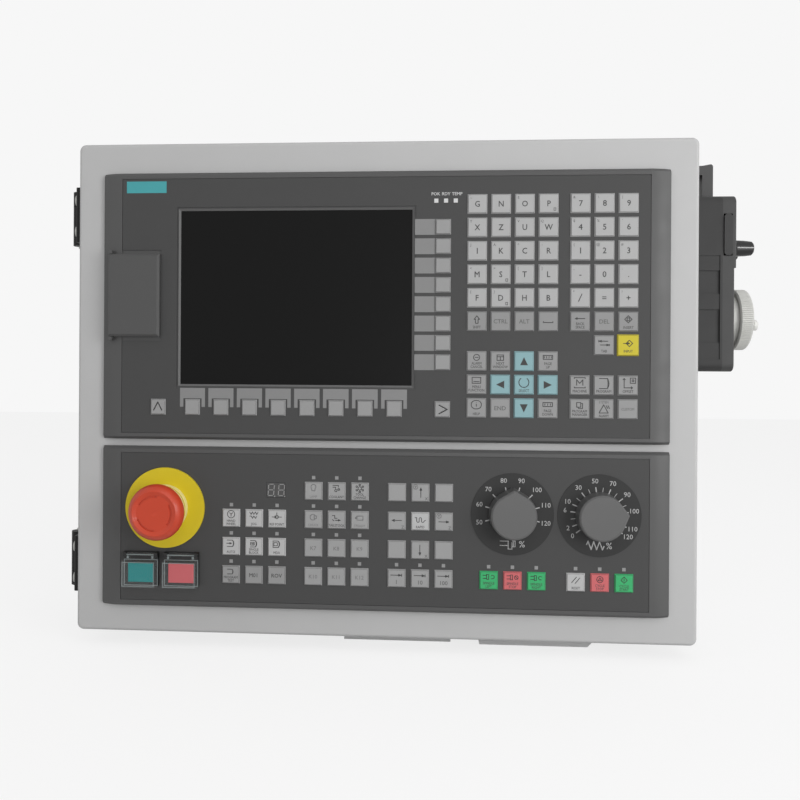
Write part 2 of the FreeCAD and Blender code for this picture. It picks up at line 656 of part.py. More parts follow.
# ---------------------------------------------------------------- hinges
def hinge_floors():
    """Heights of the lower ends of the two hinges."""
    return (box_floor + S.hinge_low, box_floor + S.box_height - S.hinge_high - S.hinge_height)


def hinge_screw_heights():
    """Heights of a leaf's two screws above the hinge's lower end."""
    return (S.hinge_screw_edge, S.hinge_height - S.hinge_screw_edge)


def hinge_screw_out():
    """Distance of a leaf's screws from the pin."""
    return S.hinge_leaf_near + S.hinge_leaf_length / 2


def build_hinge_leaf(label, low, backwards):
    """One leaf with its knuckles. The housing's leaf has the two outer ones."""
    leaf = body(label, hinge_axis_x, hinge_axis_y, low)
    sign = 1 if backwards else -1
    near = S.hinge_leaf_near * sign
    far = (S.hinge_leaf_near + S.hinge_leaf_length) * sign
    plate = sketch(leaf, "top")
    profile(plate, [(S.hinge_reach - S.hinge_leaf, near), (S.hinge_reach, near),
                    (S.hinge_reach, far), (S.hinge_reach - S.hinge_leaf, far)])
    pad(leaf, plate, S.hinge_height)
    gap = S.knuckle_gap
    if backwards:
        spans = ((sized(0), S.knuckle_end), (S.hinge_height - S.knuckle_end, S.knuckle_end))
    else:
        spans = ((S.knuckle_end + gap, S.hinge_height - S.knuckle_end * 2 - gap * 2),)
    for start, length in spans:
        neck = sketch(leaf, "top", start)
        profile(neck, [(0, 0), (S.hinge_reach, 0), (S.hinge_reach, near), (0, near)])
        pad(leaf, neck, length)
        knuckle = sketch(leaf, "top", start)
        circle(knuckle, 0, 0, S.knuckle_radius)
        pad(leaf, knuckle, length)
    bore = sketch(leaf, "top", -SLACK)
    circle(bore, 0, 0, S.hinge_pin_radius + S.turning_clearance)
    cut(leaf, bore, S.hinge_height + SLACK * 2, back=True)
    holes = sketch(leaf, "side", S.hinge_reach + SLACK)
    for up in hinge_screw_heights():
        circle(holes, hinge_screw_out() * sign, up, S.hinge_screw_radius + S.screw_hole_clearance)
    cut(leaf, holes, S.hinge_leaf + SLACK * 2)
    dress(leaf, "Chamfer", S.hinge_leaf_bevel,
          lambda edge: runs(edge, "z") and lies(edge, "x", S.hinge_reach - S.hinge_leaf)
          and lies(edge, "y", far))


def build_hinges():
    """Two hinges on the left wall, with their pins and screws."""
    pins = []
    screws = {True: [], False: []}
    for name, low in zip(("lower", "upper"), hinge_floors()):
        build_hinge_leaf(f"{name}_hinge_frame_leaf", low, True)
        build_hinge_leaf(f"{name}_hinge_door_leaf", low, False)
        pins.append(cylinder(f"{name}_pin", S.hinge_pin_radius, S.hinge_height + S.hinge_pin_tip * 2,
                             hinge_axis_x, hinge_axis_y, low - S.hinge_pin_tip))
        for backwards in (True, False):
            out = hinge_screw_out() if backwards else -hinge_screw_out()
            for number, up in enumerate(hinge_screw_heights()):
                screws[backwards].append(headed_screw(
                    f"{name}_screw_{backwards}_{number}", S.hinge_screw_radius,
                    S.hinge_leaf + S.sheet_wall + S.screw_end, S.hinge_screw_head,
                    S.hinge_screw_head_height, hinge_axis_x + S.hinge_reach - S.hinge_leaf,
                    hinge_axis_y + out, low + up, TO_RIGHT))
    group("hinge_pins", pins)
    group("hinge_frame_screws", screws[True])
    group("hinge_door_screws", screws[False])


# ---------------------------------------------------------------- lock
def build_lock():
    """Quarter-turn lock: a flanged barrel with its nut, and a core that carries the cam."""
    across = lock_x
    lock_y = front_y + S.lock_depth
    lock_z = box_floor + S.lock_height
    barrel = body("lock_barrel", across, lock_y, lock_z)
    outline = sketch(barrel, "front")
    bore = S.lock_core_radius + S.turning_clearance
    nut_start = -S.sheet_wall - S.lock_nut_height
    profile(outline, [(S.lock_flange_height, bore), (S.lock_flange_height, S.lock_flange_radius),
                      (0, S.lock_flange_radius), (0, S.lock_barrel_radius),
                      (-S.sheet_wall, S.lock_barrel_radius), (-S.sheet_wall, S.lock_nut_radius),
                      (nut_start, S.lock_nut_radius), (nut_start, S.lock_barrel_radius),
                      (-S.lock_reach, S.lock_barrel_radius), (-S.lock_reach, bore)])
    turned(barrel, outline, "H_Axis")
    core = body("lock_cam", across, lock_y, lock_z)
    round_bar = sketch(core, "side", S.lock_flange_height)
    circle(round_bar, 0, 0, S.lock_core_radius)
    pad(core, round_bar, S.lock_flange_height + S.lock_reach + S.seat_gap, back=True)
    arm = sketch(core, "side", -S.lock_reach - S.seat_gap)
    rectangle(arm, -S.cam_length, -(S.cam_width / 2), S.cam_length + S.cam_width / 2, S.cam_width)
    pad(core, arm, S.cam_thickness, back=True)
    slot = sketch(core, "side", S.lock_flange_height)
    rectangle(slot, -(S.key_slot_length / 2), -(S.key_slot_width / 2),
              S.key_slot_length, S.key_slot_width)
    cut(core, slot, S.key_slot_depth)
    dress(core, "Fillet", S.cam_round,
          lambda edge: runs(edge, "x") and lies(edge, "y", -S.cam_length))


# ---------------------------------------------------------------- the two front units
def unit_body(label, floor):
    """A body in a unit's own frame: its lower left corner on the door's face."""
    return body(label, unit_left, front_y, floor)


def screen_floor():
    """Height of the visible screen's lower edge in the upper unit's frame."""
    return S.upper_height - S.screen_top - S.screen_height


def flap_floor():
    """Height of the flap's lower edge in the upper unit's frame."""
    return S.upper_height - S.flap_top - S.flap_height


def build_bezel_blank(label, floor, height):
    """Moulded frame: flat in the middle, rolled down at both ends, bevelled above and below."""
    bezel = unit_body(label, floor)
    plan = sketch(bezel, "top")
    rise = S.bezel_height
    low = S.bezel_end_height
    profile(plan, [(0, 0), (0, -low), (wing_start, -rise), (wing_end, -rise),
                   (S.unit_width, -low), (S.unit_width, 0)],
            {1: ("DistanceX", wing_start), 3: ("DistanceX", wing_end)})
    pad(bezel, plan, height)

    def outer_end(edge):
        box = edge.BoundBox
        level = lies(edge, "z", 0) or lies(edge, "z", height)
        return level and box.YMax < -low.number + NEAR and not runs(edge, "y")

    dress(bezel, "Chamfer", S.bezel_bevel, outer_end)
    recess = sketch(bezel, "front", rise)
    rectangle(recess, wing_start, S.foil_inset, wing_end - wing_start, height - S.foil_inset * 2)
    cut(bezel, recess, S.foil_depth)
    return bezel


def build_foil(label, floor, height):
    """Thin front foil in the bezel's recess, with a fine gap all round."""
    foil = unit_body(label, floor)
    outline = sketch(foil, "front", foil_level)
    inset = S.foil_inset + S.foil_gap
    rectangle(outline, wing_start + S.foil_gap, inset,
              wing_end - wing_start - S.foil_gap * 2, height - inset * 2)
    pad(foil, outline, S.foil_depth)
    dress(foil, "Fillet", S.foil_corner, lambda edge: runs(edge, "y"))
    return foil


def keys(owner, height, left, row, columns=1, rows=1, width=None, tall=None,
         pitch=None, row_pitch=None):
    """Raised keys with sloping sides, placed from the unit's upper left corner."""
    width = width or S.key_width
    tall = tall or width
    outline = sketch(owner, "front", S.bezel_height)
    rectangle(outline, left, height - row - tall, width, tall)
    key = pad(owner, outline, S.key_rise, slope=S.key_slope)
    if max(sized(columns).number, sized(rows).number) > 1:
        pitch = pitch or S.key_pitch
        grid(owner, key, columns, pitch, rows, row_pitch or pitch)


def build_upper_bezel():
    """Bezel of the display unit, with the screen window and the socket recess."""
    bezel = build_bezel_blank("upper_bezel", upper_floor, S.upper_height)
    collar = sketch(bezel, "front")
    rectangle(collar, S.flap_left, flap_floor(), S.flap_width, S.flap_height)
    pad(bezel, collar, S.bezel_height)
    ear_level = S.bezel_height
    ears = sketch(bezel, "front", ear_level)
    gap = S.flap_clearance
    ear_rise = S.flap_hinge_radius * 2 + gap * 2
    ear_roots = sketch(bezel, "front")
    for low in (flap_floor() - S.flap_ear - gap, flap_floor() + S.flap_height + gap):
        for ear in (ears, ear_roots):
            rectangle(ear, S.flap_left, low, S.flap_hinge_radius * 2, S.flap_ear)
    pad(bezel, ears, ear_rise)
    pad(bezel, ear_roots, S.bezel_height)
    pin_bore = sketch(bezel, "top", flap_floor() - S.flap_ear - gap - SLACK)
    circle(pin_bore, S.flap_left + S.flap_hinge_radius, -flap_axis_level(),
           S.flap_pin_radius + S.turning_clearance)
    cut(bezel, pin_bore, S.flap_height + S.flap_ear * 2 + gap * 2 + SLACK * 2, back=True)
    window = sketch(bezel, "front", foil_level)
    rectangle(window, S.screen_left, screen_floor(), S.screen_width, S.screen_height)
    cut(bezel, window, foil_level)
    dress(bezel, "Chamfer", S.screen_bevel,
          lambda edge: lies(edge, "y", -foil_level) and inside_screen(edge))
    seat = sketch(bezel, "front")
    margin = S.glass_overlap + S.glass_clearance
    rectangle(seat, S.screen_left - margin, screen_floor() - margin,
              S.screen_width + margin * 2, S.screen_height + margin * 2)
    cut(bezel, seat, glass_top(), back=True)
    socket_hole = sketch(bezel, "front", S.bezel_height)
    recess_outline(socket_hole, 0)
    cut(bezel, socket_hole, S.bezel_height)


def inside_screen(edge):
    """True for an edge on the screen window's outline."""
    centre = edge.CenterOfMass
    right = (S.screen_left + S.screen_width).number + NEAR
    top = (screen_floor() + S.screen_height).number + NEAR
    return (S.screen_left.number - NEAR < centre.x < right
            and screen_floor().number - NEAR < centre.z < top)


def glass_top():
    """Level of the glass's outer face above the door."""
    return S.glass_level + S.glass_thickness


def flap_axis_level():
    """Level of the flap's hinge axis above the door."""
    return S.bezel_height + S.flap_clearance + S.flap_hinge_radius


def recess_outline(outline, inset):
    """Rectangle of the socket recess, drawn in by an inset."""
    margin = S.recess_margin + inset
    rectangle(outline, S.flap_left + margin, flap_floor() + margin,
              S.flap_width - margin * 2, S.flap_height - margin * 2)


def build_upper_foil():
    """Foil of the display unit with all its raised keys."""
    foil = build_foil("upper_keypad", upper_floor, S.upper_height)
    window = sketch(foil, "front", S.bezel_height)
    rectangle(window, S.screen_left - S.screen_lip, screen_floor() - S.screen_lip,
              S.screen_width + S.screen_lip * 2, S.screen_height + S.screen_lip * 2)
    gap = S.foil_gap
    edge_left = wing_start - SLACK
    rectangle(window, edge_left, flap_floor() - gap - S.flap_ear - S.flap_clearance,
              S.flap_left + S.flap_width + gap - edge_left,
              S.flap_height + (gap + S.flap_ear + S.flap_clearance) * 2)
    cut(foil, window, S.foil_depth)
    tall = S.upper_height
    pitch = S.key_pitch
    top = S.first_key_row
    keys(foil, tall, S.letter_left, top, S.letter_columns, S.letter_rows)
    keys(foil, tall, S.number_left, top, S.number_columns, S.number_rows)
    keys(foil, tall, S.number_left + pitch, S.tab_row)
    overhang = (S.entry_key_width - S.key_width) / 2
    keys(foil, tall, S.number_left + pitch * 2 - overhang, S.tab_row - overhang,
         width=S.entry_key_width)
    keys(foil, tall, S.letter_left, S.navigation_row, S.letter_columns, S.navigation_rows)
    keys(foil, tall, S.number_left, S.navigation_row + pitch, S.menu_columns, S.menu_rows)
    keys(foil, tall, S.side_key_left, S.side_key_row, 1, S.soft_keys, S.side_key_width,
         S.side_key_height, S.side_key_pitch)
    keys(foil, tall, S.under_key_left, S.under_key_row, S.soft_keys, 1, S.under_key_width,
         S.under_key_height, S.under_key_pitch)
    for left in (S.back_key_left, S.side_key_left):
        keys(foil, tall, left, S.under_key_row, width=S.under_key_width, tall=S.under_key_height)


def build_screen():
    """Front glass in the bezel's seat and the display module behind it."""
    margin = S.glass_overlap
    for label, level, thickness in (("screen_glass", S.glass_level, S.glass_thickness),
                                    ("display_module", S.glass_level - S.display_depth,
                                     S.display_depth)):
        plate = unit_body(label, upper_floor)
        outline = sketch(plate, "front", level)
        rectangle(outline, S.screen_left - margin, screen_floor() - margin,
                  S.screen_width + margin * 2, S.screen_height + margin * 2)
        pad(plate, outline, thickness)


def build_case(label, floor, height, depth):
    """Sheet case behind a unit, open to the front, with vent slots above and below."""
    case = unit_body(label, floor)
    outline = sketch(case, "front")
    side, end, wall = S.case_inset_side, S.case_inset_end, S.case_wall
    rectangle(outline, side, end, S.unit_width - side * 2, height - end * 2)
    pad(case, outline, depth, back=True)
    dress(case, "Fillet", S.case_round, lambda edge: lies(edge, "y", depth))
    hollow = sketch(case, "front")
    rectangle(hollow, side + wall, end + wall, S.unit_width - (side + wall) * 2,
              height - (end + wall) * 2)
    cut(case, hollow, depth - wall)
    vent = sketch(case, "top", -SLACK)
    rectangle(vent, S.unit_width / 2 - S.vent_pitch * (S.vents - 1) / 2 - S.vent_width / 2,
              (depth - S.vent_length) / 2, S.vent_width, S.vent_length)
    slots = cut(case, vent, height + SLACK * 2, back=True)
    grid(case, slots, S.vents, S.vent_pitch)
    return case


def build_clamps():
    """Clamp blocks behind the door's sheet that pull both units back against it."""
    blocks = []
    span = S.unit_width - S.clamp_edge * 2 - S.clamp_width
    count = COUNTS["clamps_a_side"]
    for name, floor, height in (("lower", lower_floor, S.lower_height),
                                ("upper", upper_floor, S.upper_height)):
        for number in range(count):
            left = unit_left + S.clamp_edge + span * number / (S.clamps_a_side - 1)
            for side, low in (("under", floor + S.case_inset_end - S.clamp_height),
                              ("over", floor + height - S.case_inset_end)):
                blocks.append(block(f"clamp_{name}_{side}_{number}", S.clamp_width,
                                    S.clamp_depth, S.clamp_height, left,
                                    front_y + S.sheet_wall, low))
    group("unit_clamps", blocks)


def build_socket():
    """Socket block at the back of the recess, with two upright ports."""
    socket = unit_body("port_block", upper_floor)
    outline = sketch(socket, "front", S.socket_level)
    recess_outline(outline, S.seat_gap)
    pad(socket, outline, S.socket_depth, back=True)
    ports = sketch(socket, "front", S.socket_level)
    middle_x = S.flap_left + S.flap_width / 2
    middle_z = flap_floor() + S.flap_height / 2
    for centre in (middle_z - S.port_spacing / 2, middle_z + S.port_spacing / 2):
        rectangle(ports, middle_x - S.port_width / 2, centre - S.port_height / 2,
                  S.port_width, S.port_height)
    cut(socket, ports, S.port_depth)
    collar = sketch(socket, "front", 0)
    recess_outline(collar, S.seat_gap)
    recess_outline(collar, S.seat_gap + S.socket_collar_wall)
    pad(socket, collar, -S.socket_level, back=True)


def build_flap():
    """Hinged cover over the socket recess: a shallow tray with two pins on its left edge."""
    flap = unit_body("port_flap", upper_floor)
    level = S.bezel_height + S.flap_clearance
    outline = sketch(flap, "front", level)
    rectangle(outline, S.flap_left, flap_floor(), S.flap_width, S.flap_height)
    pad(flap, outline, S.flap_rise)
    dress(flap, "Chamfer", S.flap_bevel,
          lambda edge: lies(edge, "y", -(level + S.flap_rise)))
    dress(flap, "Fillet", S.flap_back_round,
          lambda edge: lies(edge, "y", -level) and lies(edge, "x", S.flap_left))
    hollow = sketch(flap, "front", level)
    wall = S.flap_wall
    left_wall = S.flap_hinge_radius * 2
    rectangle(hollow, S.flap_left + left_wall, flap_floor() + wall,
              S.flap_width - left_wall - wall, S.flap_height - wall * 2)
    cut(flap, hollow, S.flap_rise - wall, back=True)
    pins = sketch(flap, "top", flap_floor() - S.flap_pin_length)
    circle(pins, S.flap_left + S.flap_hinge_radius, -flap_axis_level(), S.flap_pin_radius)
    pad(flap, pins, S.flap_pin_length + SLACK)
    high_pins = sketch(flap, "top", flap_floor() + S.flap_height - SLACK)
    circle(high_pins, S.flap_left + S.flap_hinge_radius, -flap_axis_level(), S.flap_pin_radius)
    pad(flap, high_pins, S.flap_pin_length + SLACK)


def build_status_lamps():
    """Three small lamp windows above the screen's right corner."""
    lamps = []
    low = upper_floor + S.upper_height - S.status_lamp_row - S.status_lamp_size
    for number in range(COUNTS["status_lamps"]):
        lamps.append(block(f"status_lamp_{number}", S.status_lamp_size, S.lamp_rise,
                           S.status_lamp_size,
                           unit_left + S.status_lamp_left + S.status_lamp_pitch * number,
                           front_y - S.bezel_height - S.lamp_rise, low))
    group("status_lamps", lamps)


# ---------------------------------------------------------------- switch panel
def panel_z(down):
    """Height in the lower unit's frame of a point measured down from its top edge."""
    return S.lower_height - down


def build_lower_bezel():
    """Bezel of the switch panel, with the holes for its controls."""
    bezel = build_bezel_blank("lower_bezel", lower_floor, S.lower_height)
    holes = sketch(bezel, "front", S.bezel_height)
    control_holes(holes)
    cut(bezel, holes, S.bezel_height + SLACK)


def control_holes(outline):
    """Holes for the emergency stop, the dials' bushes, the two buttons and the digits."""
    clearance = S.barrel_hole_clearance
    circle(outline, S.stop_left, panel_z(S.stop_down), S.stop_barrel_radius + clearance)
    for left in (S.spindle_dial_left, S.feed_dial_left):
        circle(outline, left, panel_z(S.dial_down), S.switch_bush_radius + S.seat_gap)
    for left in (S.green_button_left, S.red_button_left):
        rectangle(outline, left - S.button_barrel_width / 2 - S.seat_gap,
                  panel_z(S.button_down) - S.button_barrel_height / 2 - S.seat_gap,
                  S.button_barrel_width + S.seat_gap * 2, S.button_barrel_height + S.seat_gap * 2)
    rectangle(outline, S.digits_left, panel_z(S.digits_down) - S.digits_height,
              S.digits_width, S.digits_height)


def build_lower_foil():
    """Foil of the switch panel with its raised keys."""
    foil = build_foil("lower_keypad", lower_floor, S.lower_height)
    holes = sketch(foil, "front", S.bezel_height)
    control_holes(holes)
    cut(foil, holes, S.foil_depth)
    for left, row, columns, rows in key_blocks():
        keys(foil, S.lower_height, left, row, columns, rows, S.panel_key_width,
             S.panel_key_width, S.panel_key_pitch, S.panel_row_pitch)


def key_blocks():
    """Left edge, first row, columns and rows of each block of panel keys."""
    top = S.panel_first_row
    pitch = S.panel_row_pitch
    last = top + pitch * (S.function_rows - 1)
    return ((S.mode_key_left, top + pitch, S.mode_columns, S.mode_rows),
            (S.function_key_left, top, S.mode_columns, S.function_rows),
            (S.axis_key_left, top, S.mode_columns, S.axis_rows),
            (S.turning_key_left, last, S.turning_keys, sized(1)),
            (S.cycle_key_left, last, S.cycle_keys, sized(1)))


def build_key_lamps():
    """A small square lamp above each key that has one."""
    lamps = []
    top = S.panel_first_row
    pitch = S.panel_row_pitch
    columns = COUNTS["mode_columns"]
    rows = {S.mode_key_left: range(1, 1 + COUNTS["mode_rows"]),
            S.function_key_left: range(COUNTS["function_rows"]),
            S.axis_key_left: range(COUNTS["axis_rows"] - 1, COUNTS["axis_rows"]),
            S.turning_key_left: range(COUNTS["function_rows"] - 1, COUNTS["function_rows"]),
            S.cycle_key_left: range(COUNTS["function_rows"] - 1, COUNTS["function_rows"])}
    for left, lamp_rows in rows.items():
        for row_number in lamp_rows:
            for column in range(columns):
                centre = left + S.panel_key_pitch * column + S.panel_key_width / 2
                high = lower_floor + panel_z(top + pitch * row_number) + S.lamp_above_key
                lamps.append(block(f"key_lamp_{len(lamps)}", S.lamp_size, S.lamp_rise, S.lamp_size,
                                   unit_left + centre - S.lamp_size / 2,
                                   front_y - S.bezel_height - S.lamp_rise,
                                   high - S.lamp_size / 2))
    group("key_lamps", lamps)


def build_digits():
    """Two-digit number display, its face level with the foil."""
    digits = unit_body("number_display", lower_floor)
    outline = sketch(digits, "front", S.bezel_height - S.digits_sink)
    gap = S.digits_gap
    rectangle(outline, S.digits_left + gap, panel_z(S.digits_down) - S.digits_height + gap,
              S.digits_width - gap * 2, S.digits_height - gap * 2)
    pad(digits, outline, S.digits_depth + S.bezel_height, back=True)


def panel_body(label, left, down, turn=None):
    """A body centred on a control of the switch panel, at the foil's face."""
    return body(label, unit_left + left, front_y - S.bezel_height,
                lower_floor + panel_z(down), turn)


def build_stop():
    """Emergency stop: yellow disc with a raised ring, contact block, stem and mushroom head."""
    disc = panel_body("stop_disc", S.stop_left, S.stop_down)
    outline = sketch(disc, "top")
    inner = S.stop_barrel_radius + S.barrel_hole_clearance
    top = -(S.stop_disc_height + S.stop_ring_height)
    profile(outline, [(inner, 0), (S.stop_disc_radius, 0), (S.stop_disc_radius, -S.stop_disc_height),
                      (S.stop_ring_radius, -S.stop_disc_height), (S.stop_ring_radius, top),
                      (inner, top)])
    turned(disc, outline)
    block_body = panel_body("stop_block", S.stop_left, S.stop_down)
    barrel = sketch(block_body, "front", -(S.bezel_height + S.case_wall))
    circle(barrel, 0, 0, S.stop_barrel_radius)
    pad(block_body, barrel, S.bezel_height + S.case_wall + S.stop_disc_height + S.stop_ring_height)
    back = sketch(block_body, "front", -(S.bezel_height + S.case_wall))
    rectangle(back, -(S.stop_block_width / 2), -(S.stop_block_height / 2),
              S.stop_block_width, S.stop_block_height)
    pad(block_body, back, S.stop_block_depth, back=True)
    bore = sketch(block_body, "front", S.stop_disc_height + S.stop_ring_height + SLACK)
    circle(bore, 0, 0, S.stop_stem_radius + S.turning_clearance)
    stem_depth = S.bezel_height + S.stop_stem_inside
    cut(block_body, bore, S.stop_disc_height + S.stop_ring_height + SLACK + stem_depth)
    stem = panel_body("stop_stem", S.stop_left, S.stop_down)
    rod = sketch(stem, "front", -(stem_depth - S.stop_travel_gap))
    circle(rod, 0, 0, S.stop_stem_radius)
    head_middle = S.stop_head_base + S.stop_head_middle
    pad(stem, rod, stem_depth - S.stop_travel_gap + head_middle)
    build_stop_head(head_middle)


def build_stop_head(stem_top):
    """Mushroom head with a dished top and three curved arrow grooves."""
    turn = Rotation(Vector(0, -1, 0), S.stop_head_turn.number)
    head = panel_body("stop_head", S.stop_left, S.stop_down, turn)
    bind(head, "Placement.Rotation.Angle", S.stop_head_turn)
    outline = sketch(head, "top")
    bore = S.stop_stem_radius + S.turning_clearance
    base = S.stop_head_base
    rim = S.stop_head_radius
    top = base + S.stop_head_height
    widest = base + S.stop_head_middle
    profile(outline, [
        (0, -(stem_top + S.turning_clearance)), (bore, -(stem_top + S.turning_clearance)),
        (bore, -base), (S.stop_foot_radius, -base),
        (S.stop_shoulder_radius, -(base + S.stop_shoulder_height)), (rim, -widest),
        (S.stop_crown_radius, -top), (S.stop_dish_radius, -(top - S.stop_dish_edge)),
        (0, -(top - S.stop_dish_depth))],
        {5: ("DistanceY", -widest)})
    turned(head, outline)
    groove = sketch(head, "top")
    half = S.arrow_groove_width / 2
    floor = top - S.arrow_groove_depth
    rectangle(groove, S.arrow_groove_radius - half, -(top + SLACK),
              S.arrow_groove_width, top + SLACK - floor)
    arc = head.newObject("PartDesign::Groove", "stop_head_groove")
    arc.Profile = groove
    arc.ReferenceAxis = (groove, ["V_Axis"])
    bind(arc, "Angle", S.arrow_groove_angle)
    around(head, arc, "V_Axis", S.arrow_grooves)


def build_button(colour, left):
    """Guarded push button: frame with barrel and hinge ears, cap, and clear flip guard."""
    frame = panel_body(f"{colour}_button_frame", left, S.button_down)
    plate = sketch(frame, "front")
    wide, tall = S.button_frame_width, S.button_frame_height
    rectangle(plate, -(wide / 2), -(tall / 2), wide, tall + guard_axis_up() + S.guard_ear_half)
    pad(frame, plate, S.button_frame_rise)
    barrel = sketch(frame, "front")
    rectangle(barrel, -(S.button_barrel_width / 2), -(S.button_barrel_height / 2),
              S.button_barrel_width, S.button_barrel_height)
    pad(frame, barrel, S.button_depth, back=True)
    ears = sketch(frame, "front")
    ear_low = tall / 2 + guard_axis_up() - S.guard_ear_half
    for ear_left in (-(S.guard_bar_length / 2) - S.guard_ear_width, S.guard_bar_length / 2):
        rectangle(ears, ear_left, ear_low, S.guard_ear_width, S.guard_ear_half * 2)
    pad(frame, ears, guard_axis_level() + S.guard_ear_half)
    ear_bore = sketch(frame, "side", -(wide / 2) - SLACK)
    circle(ear_bore, -guard_axis_level(), tall / 2 + guard_axis_up(),
           S.guard_pin + S.turning_clearance)
    cut(frame, ear_bore, wide + SLACK * 2, back=True)
    well = sketch(frame, "front", S.button_frame_rise + SLACK)
    gap = S.cap_gap
    rectangle(well, -(S.cap_width / 2) - gap, -(S.cap_height / 2) - gap,
              S.cap_width + gap * 2, S.cap_height + gap * 2)
    cut(frame, well, S.button_frame_rise + SLACK + S.cap_length)
    cap = panel_body(f"{colour}_button_cap", left, S.button_down)
    face = sketch(cap, "front", S.cap_rise)
    rectangle(face, -(S.cap_width / 2), -(S.cap_height / 2), S.cap_width, S.cap_height)
    pad(cap, face, S.cap_rise + S.cap_length - S.cap_travel_gap, back=True)
    dress(cap, "Fillet", S.cap_round, lambda edge: lies(edge, "y", -S.cap_rise))
    build_guard(colour, left)


def guard_axis_up():
    """Height of the guard's hinge bar above the frame's upper edge."""
    return S.guard_arm


def guard_axis_level():
    """Level of the guard's hinge bar above the foil."""
    return S.button_frame_rise + S.guard_gap + S.guard_axis_rise


def build_guard(colour, left):
    """Clear box that covers the cap and swings up on a bar."""
    guard = panel_body(f"{colour}_button_guard", left, S.button_down)
    low = S.button_frame_rise + S.guard_gap
    wide, tall, wall = S.button_frame_width, S.button_frame_height, S.guard_wall
    shell = sketch(guard, "front", low)
    rectangle(shell, -(wide / 2), -(tall / 2), wide, tall)
    pad(guard, shell, S.guard_rise)
    dress(guard, "Fillet", S.guard_round, lambda edge: lies(edge, "y", -(low + S.guard_rise)))
    hollow = sketch(guard, "front", low)
    rectangle(hollow, wall - wide / 2, wall - tall / 2, wide - wall * 2, tall - wall * 2)
    cut(guard, hollow, S.guard_rise - wall, back=True)
    arms = sketch(guard, "front", low)
    reach = guard_axis_up() + S.guard_arm_past_pin
    for arm_left in (-(S.guard_bar_length / 2) + S.seat_gap,
                     S.guard_bar_length / 2 - S.guard_arm_width - S.seat_gap):
        rectangle(arms, arm_left, tall / 2 - wall, S.guard_arm_width, reach + wall)
    pad(guard, arms, S.guard_arm_thickness)
    bar = sketch(guard, "side", -(S.guard_bar_length / 2) - S.guard_ear_width)
    circle(bar, -guard_axis_level(), tall / 2 + guard_axis_up(), S.guard_pin)
    pad(guard, bar, S.guard_bar_length + S.guard_ear_width * 2)
    tab = sketch(guard, "front", low)
    rectangle(tab, -(S.guard_tab_width / 2), -(tall / 2) - S.guard_tab, S.guard_tab_width,
              S.guard_tab * 2)
    pad(guard, tab, S.guard_tab)


def build_dial(name, left, angle):
    """Override dial: scale disc, pointed knob, shaft and the switch behind the panel."""
    disc = panel_body(f"{name}_dial", left, S.dial_down)
    ring = sketch(disc, "front")
    circle(ring, 0, 0, S.dial_radius)
    circle(ring, 0, 0, S.switch_bush_radius + S.seat_gap)
    pad(disc, ring, S.dial_thickness)
    turn = Rotation(Vector(0, 1, 0), angle.number)
    knob = panel_body(f"{name}_knob", left, S.dial_down, turn)
    bind(knob, "Placement.Rotation.Angle", angle)
    start = S.dial_thickness + S.knob_gap
    outline = sketch(knob, "front", start)
    teardrop(outline, S.knob_radius, S.knob_nose, S.knob_nose_radius)
    pad(knob, outline, S.knob_rise, slope=-S.knob_slope)
    dress(knob, "Chamfer", S.knob_edge, lambda edge: lies(edge, "y", -(start + S.knob_rise)))
    bore = sketch(knob, "front", start)
    circle(bore, 0, 0, S.shaft_radius + S.shaft_clearance)
    cut(knob, bore, S.knob_bore_depth, back=True)
    bush = sketch(knob, "front", start)
    circle(bush, 0, 0, S.switch_bush_radius + S.seat_gap)
    cut(knob, bush, S.knob_gap + S.seat_gap, back=True)
    shaft = panel_body(f"{name}_shaft", left, S.dial_down)
    rod = sketch(shaft, "front", -S.shaft_end + S.seat_gap)
    circle(rod, 0, 0, S.shaft_radius)
    pad(shaft, rod, S.shaft_end - S.seat_gap + start + S.knob_bore_depth)
    switch = panel_body(f"{name}_switch", left, S.dial_down)
    case_face = -(S.bezel_height + S.case_wall)
    case = sketch(switch, "front", case_face)
    rectangle(case, -(S.switch_width / 2), -(S.switch_width / 2), S.switch_width, S.switch_width)
    pad(switch, case, S.switch_depth, back=True)
    neck = sketch(switch, "front", case_face)
    circle(neck, 0, 0, S.switch_bush_radius)
    pad(switch, neck, -case_face + S.dial_thickness)
    hole = sketch(switch, "front", S.dial_thickness + SLACK)
    circle(hole, 0, 0, S.shaft_radius + S.shaft_clearance)
    cut(switch, hole, S.dial_thickness + SLACK + S.shaft_end)


# ---------------------------------------------------------------- pendant
pendant_x = S.box_width / 2 + S.pendant_standoff
pendant_y = front_y + S.pendant_depth
pendant_z = box_floor + S.pendant_middle
seam = S.rear_shell_depth
lower_face = seam + S.front_shell_depth - S.pendant_step
upper_face = seam + S.front_shell_depth
half_width = S.pendant_width / 2
half_height = S.pendant_height / 2


def pendant_body(label, out=0, across=0, up=0, turn=None):
    """A body in the pendant's frame: the middle of its back face."""
    return body(label, pendant_x + out, pendant_y + across, pendant_z + up, turn)


def screw_places():
    """Places of the four case screws across and up the pendant's back."""
    across = half_width - S.post_width / 2
    up = half_height - S.post_width / 2
    return [(across * a, up * b) for a in (-1, 1) for b in (-1, 1)]


def cross_hollow(owner, offset, length, back):
    """Hollow that leaves a solid post in each corner for the screws."""
    inner_y = half_width - S.pendant_wall
    inner_z = half_height - S.pendant_wall
    post_y = half_width - S.post_width
    post_z = half_height - S.post_width
    outline = sketch(owner, "side", offset)
    profile(outline, [
        (-post_y, -inner_z), (post_y, -inner_z), (post_y, -post_z), (inner_y, -post_z),
        (inner_y, post_z), (post_y, post_z), (post_y, inner_z), (-post_y, inner_z),
        (-post_y, post_z), (-inner_y, post_z), (-inner_y, -post_z), (-post_y, -post_z)])
    cut(owner, outline, length, back=back)


